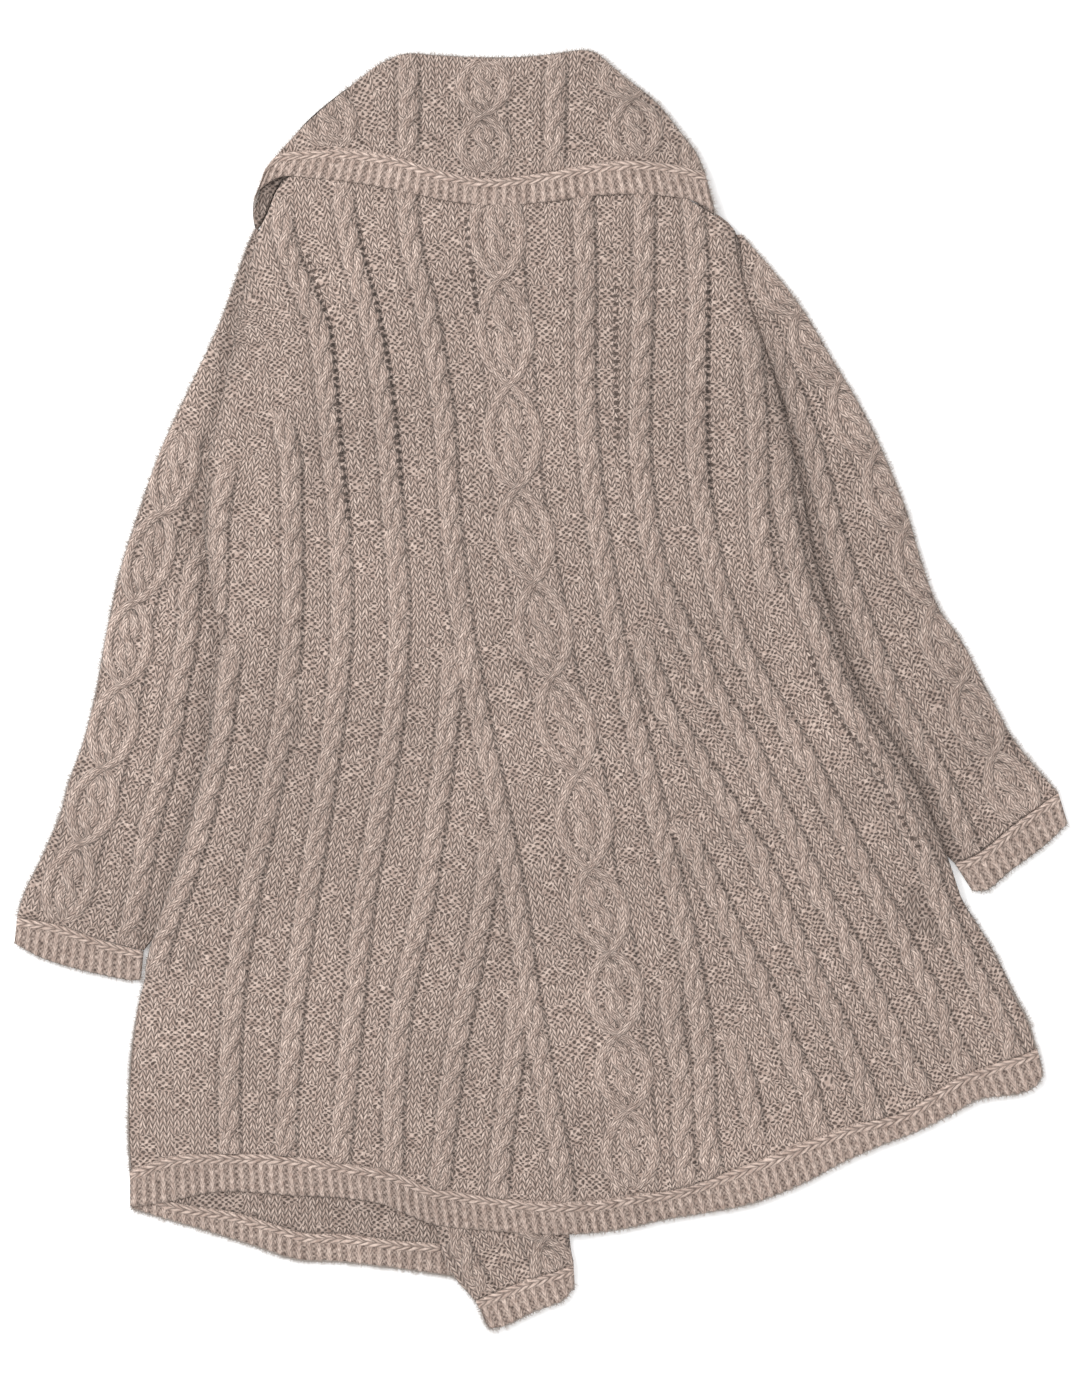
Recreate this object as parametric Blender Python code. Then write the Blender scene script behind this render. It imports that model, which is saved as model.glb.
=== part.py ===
# Long cable-knit cardigan with a deep folded collar, laid flat on a table with its back upwards.
# Sizes are in millimetres, X to the right, Y towards the collar, Z up from the table.

import math

import bpy
from mathutils import Vector
from mathutils.geometry import delaunay_2d_cdt

for old in list(bpy.data.objects):
    bpy.data.objects.remove(old, do_unlink=True)

MM = 0.001

# Driving sizes of the knitted cloth
WALL = 2.2            # body cloth without its cables
SLEEVE_WALL = 2.0     # each layer of a flattened sleeve
SLEEVE_SPACE = 0.6    # air between a sleeve's two layers
LAYER_GAP = 0.4       # clear height between cloth that lies on cloth
SEAM_GAP = 0.3        # clear width between pieces that are sewn together
RIB_WALL = 1.5        # welt cloth in the valleys between its ribs
RIB_PITCH = 8.2       # one raised rib and its valley
RIB_RISE = 0.7
CHAIN_RISE = 0.7      # the plaited chain along each welt's seam
ROPE_HALF = 8.4       # half the width of a rope cable
ROPE_PITCH = 23.0     # from one crossing of a rope cable to the next
ROPE_RISE = 2.2
STRAND_HALF = 4.2     # half the width of an outer strand of a wide cable
OVAL_HALF = 20.0      # from a wide cable's middle to its outer strand at its widest
OVAL_RISE = 2.4

SLEEVE_TOP = 2 * SLEEVE_WALL + SLEEVE_SPACE
SLEEVE_LIFT = SLEEVE_TOP + LAYER_GAP
LAYER = WALL + LAYER_GAP
WOOL = (0.392, 0.300, 0.259, 1.0)
WOOL_SHADE = (0.330, 0.250, 0.215, 1.0)

# Side edges of the body, from shoulder to hem: x, y
LEFT_SIDE = [
    (-226, 366), (-234, 335), (-241, 304), (-247, 272), (-255, 232), (-266, 184), (-269, 120),
    (-259, 56), (-257, 33), (-265, 5), (-266, -42), (-274, -72), (-281, -96), (-290, -131),
    (-314, -211), (-317, -232), (-323, -256), (-329, -296), (-331, -352), (-329, -386),
]
RIGHT_SIDE = [
    (154, 369), (163, 320), (187, 248), (207, 168), (219, 104), (239, 40), (259, -8), (271, -24),
    (299, -72), (323, -128), (334, -160), (339, -172), (362, -209), (380, -246), (390, -264),
    (397, -288),
]
# Shoulders and back of the neck, left to right: x, y
SHOULDER_LINE = [
    (-226, 366), (-196, 389), (-160, 409), (-110, 423), (-46, 428), (20, 423), (67, 413),
    (110, 396), (154, 369),
]
# Where the back meets its welt, and the welt's lower edge, left to right: x, y
BACK_SEAM = [
    (-329, -386), (-294, -374), (-261, -372), (-210, -373), (-159, -380), (-118, -387), (-91, -398),
    (-67, -402), (-42, -406), (-1, -410), (40, -410), (71, -405), (112, -399), (153, -385),
    (183, -374), (209, -364), (250, -348), (290, -338), (331, -312), (362, -300), (397, -288),
]
BACK_EDGE = [
    (-329, -414), (-298, -410), (-267, -403), (-238, -402), (-200, -405), (-159, -407), (-128, -412),
    (-108, -420), (-82, -429), (-42, -433), (-1, -436), (26, -436), (61, -433), (102, -424),
    (127, -420), (168, -412), (209, -396), (239, -380), (270, -366), (301, -354), (331, -339),
    (352, -328), (382, -324), (397, -317), (402, -307),
]
# The wearer's left front lies wrong side up under the back and shows below it: x, y
LEFT_FRONT_SEAM = [
    (-329, -396), (-294, -411), (-250, -418), (-220, -426), (-190, -435), (-159, -436),
    (-118, -441), (-79, -444), (-30, -451), (26, -458),
]
LEFT_FRONT_EDGE = [
    (-328, -416), (-302, -424), (-271, -433), (-230, -446), (-196, -457), (-159, -459),
    (-108, -465), (-74, -470), (-33, -475), (-1, -479), (27, -481),
]
LEFT_FRONT_INNER = [
    (26, -458), (23, -439), (20, -380), (18, -330), (12, -250), (5, -150), (0, -80), (-4, -10),
    (-12, 60), (-34, 150), (-64, 240), (-108, 330), (-160, 409),
]
# Its front edge is folded back on top of it and shows as a flap below the back: x, y
FLAP_FOLD = [
    (26, -461), (23, -439), (20, -380), (18, -330), (12, -250), (5, -150), (0, -80), (-5, -12),
]
FLAP_FRONT_EDGE = [
    (-53, -489), (-72, -467), (-80, -448), (-84, -429), (-98, -380), (-104, -320), (-100, -250),
    (-80, -160), (-45, -75), (-12, -16),
]
FLAP_SEAM = [(-53, -489), (-21, -476), (-1, -469), (26, -461)]
FLAP_EDGE = [(-42, -511.6), (-27, -509), (-5, -498), (18, -489), (27, -476)]
# The right front is hidden; its front edge runs down the middle: x, y
RIGHT_FRONT_INNER = [(110, 396), (62, 330), (38, 220), (34, 60), (36, -10), (40, -200), (44, -372)]
RIGHT_FRONT_SEAM = [(44, -372), (140, -352), (209, -334), (290, -308), (362, -270), (388, -260)]
RIGHT_FRONT_EDGE = [(44, -394), (145, -374), (215, -356), (297, -329), (372, -291), (395, -281)]

# Inner edges of the sleeves, hidden under the body, which steps down off them: x, y, lift
LEFT_STEP = [
    (-364, -300, 0.0), (-345, -262, 0.5), (-317, -218, 1.0), (-277, -152, 1.0), (-250, -100, 1.0),
    (-233, -36, 1.0), (-223, 40, 1.0), (-216, 104, 1.0), (-202, 184, 1.0), (-201, 232, 1.0),
    (-205, 300, 1.0), (-212, 352, 1.0), (-216, 373, 1.0), (-220, 392, 0.6), (-223, 412, 0.2),
    (-226, 430, 0.0),
]
RIGHT_STEP = [
    (384, -247, 0.0), (360, -208, 0.5), (334, -164, 1.0), (311, -128, 1.0), (283, -80, 1.0),
    (251, -24, 1.0), (223, 32, 1.0), (199, 104, 1.0), (179, 176, 1.0), (163, 232, 1.0),
    (150, 300, 1.0), (144, 352, 1.0), (141, 373, 1.0), (138, 392, 0.6), (135, 412, 0.2),
    (132, 430, 0.0),
]
# How the body falls off a sleeve: distance inwards from the sleeve's edge, share of the lift
STEP_FALL = [(-95.0, 1.0), (0.0, 1.0), (11.0, 0.62), (23.0, 0.16), (36.0, 0.0)]
FLAP_FALL = [(0.0, 1.0), (12.0, 0.35), (26.0, 0.0)]

# Sleeves from head to seam of the cuff: outer x, outer y, inner x, inner y
LEFT_SLEEVE = [
    (-229.5, 365, -221, 365), (-237, 351, -214, 351), (-247, 322, -211, 330), (-256, 297, -207, 300),
    (-266, 274, -205, 275), (-277, 251, -203, 250),
    (-301, 200, -204, 184), (-319, 152, -211, 130), (-338, 92, -218, 85), (-347, 50, -224, 40),
    (-353, 18, -229, 0), (-357, -4, -234, -36), (-366, -40, -243, -72), (-379, -76, -252, -100),
    (-385, -99, -262, -124), (-399, -132, -279, -152), (-414, -163, -300, -186),
    (-419.5, -182, -318, -209),
]
RIGHT_SLEEVE = [
    (161, 364, 147, 364), (173, 350, 147, 350), (187, 334, 149, 325), (211, 302, 153, 300),
    (231, 268, 160, 260),
    (255, 228, 167, 215), (271, 196, 177, 176), (291, 148, 188, 140), (304, 104, 200, 100),
    (314, 75, 211, 68), (322, 59, 222, 36), (336, 40, 236, 6), (358, -2, 254, -32),
    (376, -36, 274, -66), (396, -62, 296, -104), (414, -82, 331, -139),
]
# Seams and lower edges of the cuffs, from outer corner to inner corner: x, y
LEFT_CUFF_SEAM = [(-419.5, -182), (-388, -187), (-354, -199), (-318, -209)]
LEFT_CUFF_EDGE = [(-421.6, -203), (-399, -215), (-366, -225), (-327, -233), (-320, -230)]
RIGHT_CUFF_SEAM = [(414, -82), (382, -105), (354, -128), (331, -139)]
RIGHT_CUFF_EDGE = [(421.6, -107), (403, -125), (376, -145), (358, -160), (345, -161)]

# The collar folds at its top and falls on the back: x, y
COLLAR_FOLD = [
    (-230, 386), (-223, 408), (-213, 425), (-195, 445), (-170, 468), (-133, 498), (-110, 508.5),
    (-83, 507.5), (-53, 506), (-20, 506), (5, 508), (32, 511.6), (45, 509), (67, 490), (92, 470),
    (110, 448), (125, 428), (134, 403), (140, 380),
]
COLLAR_SEAM = [
    (-221, 415), (-208, 428), (-183, 431), (-158, 432), (-120, 427), (-83, 416), (-46, 409),
    (-8, 412), (30, 418), (67, 423), (105, 420), (131, 413),
]
COLLAR_EDGE = [
    (-229.5, 391), (-226, 399), (-208, 410), (-183, 409), (-146, 405), (-108, 398), (-70, 390),
    (-33, 387), (5, 390), (42, 395), (80, 396), (117, 392), (139, 382),
]

# Rope cables of the back, from collar to welt: x, y
BACK_ROPES = {
    "edge_low": [(-247, 40), (-252, -2), (-256, -36), (-264, -74), (-273, -112), (-284, -148),
                 (-300, -190), (-310, -230)],
    "edge_high": [(-250, 184), (-258, 141), (-259, 98), (-261, 56), (-264, 24)],
    "side_left": [(-211, 226), (-201, 187), (-200, 148), (-199, 70), (-205, -9), (-218, -87),
                  (-234, -164), (-246, -242), (-250, -321), (-249, -390)],
    "outer_left": [(-209, 394), (-204, 355), (-190, 318), (-177, 282), (-169, 204), (-162, 126),
                   (-160, 48), (-167, -30), (-178, -108), (-190, -185), (-199, -263), (-204, -341),
                   (-205, -390)],
    "middle_left": [(-160, 410), (-156, 371), (-148, 333), (-137, 295), (-125, 218), (-119, 140),
                    (-114, 62), (-118, -16), (-129, -93), (-142, -171), (-150, -248), (-157, -326),
                    (-164, -395)],
    "inner_left": [(-109, 420), (-107, 381), (-102, 342), (-92, 304), (-79, 227), (-74, 149), (-66, 71),
                   (-53, -6), (-37, -83), (-22, -160), (-11, -237), (3, -314), (17, -391), (17, -420)],
    "flare_left": [(-73, 34), (-73, -6), (-82, -85), (-93, -164), (-110, -242), (-118, -321),
                   (-119, -400)],
    "flare_inner": [(-44, -116), (-44, -156), (-58, -233), (-72, -311), (-81, -390), (-83, -410)],
    "flare_middle": [(-20, -240), (-21, -282), (-32, -366), (-35, -418)],
    "inner_right": [(32, 420), (35, 342), (35, 264), (38, 186), (48, 108), (61, 31), (79, -45),
                    (97, -121), (115, -197), (128, -274), (132, -351), (139, -400)],
    "middle_right": [(82, 420), (82, 342), (80, 264), (79, 186), (89, 108), (101, 71), (122, 32),
                     (137, 0), (152, -22), (166, -45), (179, -75), (190, -96), (203, -121), (217, -152),
                     (231, -178), (241, -195), (250, -212), (265, -243), (280, -272), (296, -305),
                     (310, -328)],
    "outer_right": [(119, 410), (125, 332), (124, 254), (125, 176), (137, 98), (148, 61), (164, 24),
                    (183, -9), (204, -42), (222, -76), (240, -108), (259, -146), (279, -182),
                    (297, -216), (313, -248), (329, -282), (345, -315)],
    "side_right": [(166, 292), (169, 259), (172, 218), (173, 177), (174, 135), (179, 94), (184, 74)],
    "edge_right": [(193, 196), (193, 157), (200, 118), (208, 80), (222, 43), (236, 6), (254, -29),
                   (273, -63), (289, -99), (306, -134), (319, -171), (335, -207), (354, -242),
                   (372, -277), (382, -305)],
    "flare_right": [(76, 48), (84, 25), (92, 5), (99, -16), (110, -33), (127, -58), (137, -75),
                    (148, -92), (158, -110), (172, -130), (190, -170), (200, -194), (211, -216),
                    (220, -236), (232, -258), (240, -276), (248, -295), (256, -315), (264, -336),
                    (270, -362)],
    "flare_centre": [(110, -106), (125, -135), (138, -162), (151, -190), (167, -218), (181, -245),
                     (190, -266), (204, -301), (212, -316), (218, -338), (226, -366)],
    "flare_low": [(102, -228), (105, -269), (112, -310), (113, -351), (116, -402)],
    "flare_outer": [(148, -272), (156, -292), (163, -314), (168, -338), (172, -368)],
}
# Crossings of the wide cable down the middle of the back: x, y
BACK_WIDE = [
    (-37, 402), (-33, 328), (-25, 244), (-19, 161), (-5, 86), (9, 10), (30, -67), (39, -143),
    (55, -210), (62, -276), (70, -337), (72, -404),
]
LEFT_SLEEVE_WIDE = [
    (-285, 212), (-303, 141), (-325, 70), (-336, 3), (-350, -63), (-368, -123), (-388, -190),
]
LEFT_SLEEVE_ROPE = [
    (-254, 158), (-268, 120), (-281, 84), (-283, 45), (-290, 6), (-296, -34), (-304, -73), (-314, -111),
    (-321, -151), (-329, -189), (-334, -209),
]
RIGHT_SLEEVE_WIDE = [
    (205, 300), (237, 244), (266, 187), (291, 128), (315, 68), (336, 5), (362, -52), (392, -110),
]
RIGHT_SLEEVE_ROPE = [
    (177, 292), (186, 272), (200, 240), (214, 200), (225, 160), (236, 118), (248, 78), (262, 40),
    (278, 2), (298, -34), (318, -70), (333, -104), (348, -140),
]
COLLAR_WIDE = {
    "left": [(-176, 480), (-163, 434)],
    "middle": [(-46, 507), (-46, 459), (-46, 412)],
    "right": [(66, 490), (72, 472), (77, 425)],
}
COLLAR_ROPES = {
    "left": [(-108, 505), (-106, 470), (-108, 427)],
    "right": [(12, 505), (11, 470), (10, 416)],
    "end_left": [(-196, 440), (-199, 431)],
}
LEFT_CABLES = (LEFT_SLEEVE_WIDE, LEFT_SLEEVE_ROPE)
RIGHT_CABLES = (RIGHT_SLEEVE_WIDE, RIGHT_SLEEVE_ROPE)
FLAP_ROPE = [(-66, -442), (-56, -464), (-43, -482)]


# Plane geometry

def gap(a, b):
    return math.hypot(a[0] - b[0], a[1] - b[1])


# A smooth line through a table's points, with about one point each step.
def smooth(table, step):
    line = []
    last = len(table) - 1
    for i in range(last):
        before = table[max(i - 1, 0)]
        start = table[i]
        end = table[i + 1]
        after = table[min(i + 2, last)]
        parts = max(1, round(gap(start, end) / step))
        for k in range(parts):
            t = k / parts
            point = []
            for axis in range(2):
                bend = 2 * before[axis] - 5 * start[axis] + 4 * end[axis] - after[axis]
                twist = 3 * start[axis] - before[axis] - 3 * end[axis] + after[axis]
                slope = end[axis] - before[axis]
                point.append(start[axis] + 0.5 * t * (slope + t * (bend + t * twist)))
            line.append(tuple(point))
    line.append(tuple(table[last][:2]))
    return line


# The same line again with equal steps.
def evenly(line, count):
    lengths = [0.0]
    for a, b in zip(line, line[1:]):
        lengths.append(lengths[-1] + gap(a, b))
    points = []
    i = 0
    for k in range(count + 1):
        want = lengths[-1] * k / count
        while i < len(line) - 2 and lengths[i + 1] < want:
            i += 1
        t = (want - lengths[i]) / max(lengths[i + 1] - lengths[i], 1e-9)
        a, b = line[i], line[i + 1]
        points.append((a[0] + t * (b[0] - a[0]), a[1] + t * (b[1] - a[1])))
    return points


def length_of(line):
    return sum(gap(a, b) for a, b in zip(line, line[1:]))


def mix(a, b, t):
    return (a[0] + t * (b[0] - a[0]), a[1] + t * (b[1] - a[1]))


def inside(point, loop):
    x, y = point[:2]
    hit = False
    for a, b in zip(loop, loop[1:] + loop[:1]):
        if (a[1] > y) != (b[1] > y) and x < a[0] + (y - a[1]) * (b[0] - a[0]) / (b[1] - a[1]):
            hit = not hit
    return hit


def from_segment(point, a, b):
    run = (b[0] - a[0]) ** 2 + (b[1] - a[1]) ** 2
    t = 0.0
    if run > 0:
        t = ((point[0] - a[0]) * (b[0] - a[0]) + (point[1] - a[1]) * (b[1] - a[1])) / run
        t = min(1.0, max(0.0, t))
    return gap(point, mix(a, b, t))


def from_line(point, line):
    return min(from_segment(point, a, b) for a, b in zip(line, line[1:]))


# Each point of a line moved sideways, to the left of the way the line runs.
def beside(line, distance):
    moved = []
    last = len(line) - 1
    for i, point in enumerate(line):
        a = line[max(i - 1, 0)]
        b = line[min(i + 1, last)]
        run = max(gap(a, b), 1e-9)
        moved.append((point[0] - distance * (b[1] - a[1]) / run, point[1] + distance * (b[0] - a[0]) / run))
    return moved


# Steps of the ground under a layer

# A step is a strip of triangles along an edge; every layer over it keeps the same triangles.
class Step:
    def __init__(self, table, fall, inward):
        line = [row[:2] for row in table]
        self.rows = []
        for distance, share in fall:
            moved = beside(line, inward * distance)
            self.rows.append([(p[0], p[1], share * row[2]) for p, row in zip(moved, table)])
        self.triangles = []
        self.edges = []
        for near, far in zip(self.rows, self.rows[1:]):
            for i in range(len(near) - 1):
                self.triangles.append((near[i], near[i + 1], far[i]))
                self.triangles.append((near[i + 1], far[i + 1], far[i]))
                self.edges.append((near[i + 1], far[i]))
                self.edges.append((near[i], far[i]))
            self.edges.append((near[-1], far[-1]))
        for row in self.rows:
            self.edges.extend(zip(row, row[1:]))

    def lift(self, x, y):
        best = None
        for a, b, c in self.triangles:
            area = (b[0] - a[0]) * (c[1] - a[1]) - (c[0] - a[0]) * (b[1] - a[1])
            u = ((b[0] - x) * (c[1] - y) - (c[0] - x) * (b[1] - y)) / area
            v = ((c[0] - x) * (a[1] - y) - (a[0] - x) * (c[1] - y)) / area
            w = 1.0 - u - v
            if min(u, v, w) > -1e-6:
                value = u * a[2] + v * b[2] + w * c[2]
                best = value if best is None else max(best, value)
        return best


LEFT_RAMP = Step(LEFT_STEP, STEP_FALL, -1)
RIGHT_RAMP = Step(RIGHT_STEP, STEP_FALL, 1)
FLAP_STEP = (
    [(-62, -560, 1.0)]
    + [(x, y, 1.0) for x, y in smooth(FLAP_FRONT_EDGE[2:], 60)]
    + [(x, y, 1.0) for x, y in smooth(FLAP_FOLD, 60)[::-1]]
    + [(34, -560, 1.0)]
)
FLAP_RAMP = Step(FLAP_STEP, FLAP_FALL, 1)
FLAP_INSIDE = [row[:2] for row in FLAP_STEP]
SLEEVE_EDGES = LEFT_RAMP.edges + RIGHT_RAMP.edges


# Height of the ground under the fronts: the table, or a sleeve.
def ground(x, y):
    for ramp in (LEFT_RAMP, RIGHT_RAMP):
        lift = ramp.lift(x, y)
        if lift is not None:
            return SLEEVE_LIFT * lift
    return 0.0


# Height of the ground under the back: the fronts, and the flap between them.
def under_back(x, y):
    lift = 1.0 if inside((x, y), FLAP_INSIDE) else (FLAP_RAMP.lift(x, y) or 0.0)
    return ground(x, y) + LAYER + LAYER * lift


def under_collar(x, y):
    return ground(x, y) + 2 * LAYER


def under_flap(x, y):
    return ground(x, y) + LAYER


# Raised patterns, as spots: x, y, rise

# A rope cable: two strands that cross over once each pitch, leaning up to the right.
def rope(table, half=ROPE_HALF, rise=ROPE_RISE, lean=1, start=0.0):
    line = smooth(table, 6)
    total = length_of(line)
    count = max(1, round(total / ROPE_PITCH))
    pattern = [
        (0.42 * half * lean, -0.24, 1.0), (-0.42 * half * lean, 0.24, 1.0), (0.0, 0.5, 0.45),
        (0.84 * half * lean, 0.24, 0.0), (-0.84 * half * lean, -0.24, 0.0),
        (half * lean, -0.24, 0.0), (-half * lean, 0.24, 0.0),
    ]
    fine = evenly(line, count * 20)
    last = len(fine) - 1
    spots = []
    for k in range(count):
        for across, along, share in pattern:
            at = (k + 0.5 + along) * 20
            i = min(last, max(0, round(at)))
            a = fine[max(i - 2, 0)]
            b = fine[min(i + 2, last)]
            run = gap(a, b)
            x = fine[i][0] - across * (b[1] - a[1]) / run
            y = fine[i][1] + across * (b[0] - a[0]) / run
            spots.append((x, y, rise * share))
    return spots


# A wide cable: two outer strands that cross at the table's points, with a rope between crossings.
def wide(table, half=OVAL_HALF, rise=OVAL_RISE):
    line = smooth(table, 6)
    spots = []
    for a, b in zip(table, table[1:]):
        run = gap(a, b)
        along = ((b[0] - a[0]) / run, (b[1] - a[1]) / run)
        side = (-along[1], along[0])

        def spot(across, down, share):
            x = a[0] + side[0] * across + along[0] * down
            y = a[1] + side[1] * across + along[1] * down
            spots.append((x, y, rise * share))

        spot(0.0, 0.0, 1.0)
        for part in (0.14, 0.32, 0.5, 0.68, 0.86):
            out = half * math.sin(math.pi * part) ** 0.7
            for sign in (-1, 1):
                spot(sign * out, part * run, 0.9)
                spot(sign * (out + STRAND_HALF), part * run, 0.0)
                if part in (0.32, 0.5, 0.68):
                    spot(sign * 0.62 * half, part * run, 0.0)
        for part in (0.26, 0.44, 0.6, 0.76):
            lean = 0.22 * half * (1 if part in (0.26, 0.6) else -1)
            spot(lean, part * run, 0.8)
    return spots


# Spots kept only where they stand clear of each other, of the loop and of any piece that covers them.
def sift(spots, loop, covers=(), near=2.6):
    kept = []
    closed = loop + loop[:1]
    for spot in spots:
        if not inside(spot, loop) or from_line(spot, closed) < 1.6:
            continue
        if any(inside(spot, cover) or from_line(spot, cover + cover[:1]) < 2.0 for cover in covers):
            continue
        if any(abs(spot[0] - k[0]) < near and gap(spot, k) < near for k in kept[-400:]):
            continue
        kept.append(spot)
    return kept


# Plain spots between the cables, so that no triangle spans a step.
def plain_fill(spots, loop, step, clear):
    filled = list(spots)
    xs = [p[0] for p in loop]
    ys = [p[1] for p in loop]
    y = min(ys) + step / 2
    while y < max(ys):
        x = min(xs) + step / 2
        while x < max(xs):
            if all(abs(x - s[0]) > clear or abs(y - s[1]) > clear for s in spots):
                filled.append((x, y, 0.0))
            x += step
        y += step
    return filled


# Solids

# Triangles of the plan inside a loop. Lines are pairs of points that stay edges.
def skin(loop, lines, spots):
    points = [p[:2] for p in loop]
    rises = [p[2] if len(p) > 2 else 0.0 for p in loop]
    count = len(points)
    edges = [(i, (i + 1) % count) for i in range(count)]
    known = {}
    for a, b in lines:
        pair = []
        for p in (a, b):
            key = (round(p[0], 3), round(p[1], 3))
            if key not in known:
                known[key] = len(points)
                points.append(p[:2])
                rises.append(0.0)
            pair.append(known[key])
        edges.append(tuple(pair))
    for p in spots:
        points.append(p[:2])
        rises.append(p[2])
    made = delaunay_2d_cdt([Vector(p) for p in points], edges, [], 0, 1e-4)
    flat, faces, sources = made[0], made[2], made[3]
    plan = [(v[0], v[1]) for v in flat]
    up = [max((rises[i] for i in source), default=0.0) for source in sources]
    outline = [p[:2] for p in loop]
    kept = []
    for face in faces:
        middle = (sum(plan[i][0] for i in face) / 3, sum(plan[i][1] for i in face) / 3)
        if inside(middle, outline):
            a, b, c = (plan[i] for i in face)
            turn = (b[0] - a[0]) * (c[1] - a[1]) - (c[0] - a[0]) * (b[1] - a[1])
            kept.append(tuple(face) if turn > 0 else tuple(reversed(face)))
    return plan, up, kept


# The skin's rim as an ordered loop of vertex numbers.
def rim(faces, plan, first):
    follow = {}
    for face in faces:
        for a, b in zip(face, face[1:] + face[:1]):
            follow[(a, b)] = True
    step = {a: b for a, b in follow if (b, a) not in follow}
    start = min(step, key=lambda i: gap(plan[i], first))
    loop = [start]
    while step[loop[-1]] != start:
        loop.append(step[loop[-1]])
    return loop


def edges_inside(edges, loop, reach):
    xs = [p[0] for p in loop]
    ys = [p[1] for p in loop]
    low = (min(xs) - reach, min(ys) - reach)
    high = (max(xs) + reach, max(ys) + reach)
    kept = []
    for a, b in edges:
        if max(a[0], b[0]) > low[0] and min(a[0], b[0]) < high[0]:
            if max(a[1], b[1]) > low[1] and min(a[1], b[1]) < high[1]:
                kept.append((a, b))
    return kept


def add_object(name, points, faces, colour):
    mesh = bpy.data.meshes.new(name)
    mesh.from_pydata([(x * MM, y * MM, z * MM) for x, y, z in points], [], faces)
    mesh.update()
    material = bpy.data.materials.new(name)
    material.use_nodes = True
    shader = material.node_tree.nodes["Principled BSDF"]
    shader.inputs["Base Color"].default_value = colour
    shader.inputs["Roughness"].default_value = 0.95
    shader.inputs["Metallic"].default_value = 0.0
    mesh.materials.append(material)
    made = bpy.data.objects.new(name, mesh)
    bpy.context.scene.collection.objects.link(made)
    return made


# A flat piece of cloth on the given ground, with its pattern raised in its upper points only.
def panel(name, loop, base, spots=(), wall=WALL, lines=(), top_lines=(), covers=(), colour=WOOL):
    rims = [(a, b) for cover in covers for a, b in zip(cover, cover[1:] + cover[:1])]
    under = skin(loop, list(lines) + rims, [])
    under_rim = rim(under[2], under[0], loop[0])
    rises = {(round(p[0], 2), round(p[1], 2)): p[2] for p in loop if len(p) > 2}
    edge = []
    for i in under_rim:
        x, y = under[0][i]
        edge.append((x, y, rises.get((round(x, 2), round(y, 2)), 0.0)))
    over = skin(edge, list(top_lines) + rims, spots)
    over_rim = rim(over[2], over[0], edge[0])
    if len(over_rim) != len(under_rim):
        raise ValueError(name + ": rims differ " + str((len(over_rim), len(under_rim))))
    points = [(x, y, base(x, y)) for x, y in under[0]]
    shift = len(points)
    points += [(x, y, base(x, y) + wall + up) for (x, y), up in zip(over[0], over[1])]
    faces = [tuple(reversed(face)) for face in under[2]]
    faces += [tuple(i + shift for i in face) for face in over[2]]
    count = len(under_rim)
    for k in range(count):
        n = (k + 1) % count
        faces.append((under_rim[k], under_rim[n], over_rim[n] + shift, over_rim[k] + shift))
    used = sorted({i for face in faces for i in face})
    new = {old_index: i for i, old_index in enumerate(used)}
    return add_object(name, [points[i] for i in used], [tuple(new[i] for i in f) for f in faces], colour)


def rib_count(edge):
    return max(3, round(length_of(edge) / RIB_PITCH))


# The points that a panel and its welt share along their seam: one for each rib.
def shared_seam(seam, edge):
    return evenly(seam, rib_count(edge) * 2)[::2]


# A welt between its seam and its edge, both left to right, with ribs across it and a chain at its seam.
def welt(name, seam, edge, base, wall=RIB_WALL, lines=(), top_lines=(), covers=(), colour=WOOL):
    ribs = rib_count(edge)
    low = evenly(edge, ribs * 2)
    high = evenly(seam, ribs * 2)
    loop = [(x, y, RIB_RISE if k % 2 else 0.0) for k, (x, y) in enumerate(low)]
    loop += [(x, y, 0.0) for x, y in high[::-2]]
    spots = []
    for k in range(1, ribs * 2):
        x, y = mix(high[k], low[k], 0.46)
        spots.append((x, y, RIB_RISE if k % 2 else 0.0))
        if k % 2:
            x, y = mix(high[k], low[k], 0.2)
            spots.append((x, y, CHAIN_RISE))
    plan = [p[:2] for p in loop]
    spots = sift(spots, plan, covers, 1.2)
    return panel(name, loop, base, spots, wall, lines, top_lines, covers, colour)


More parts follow.
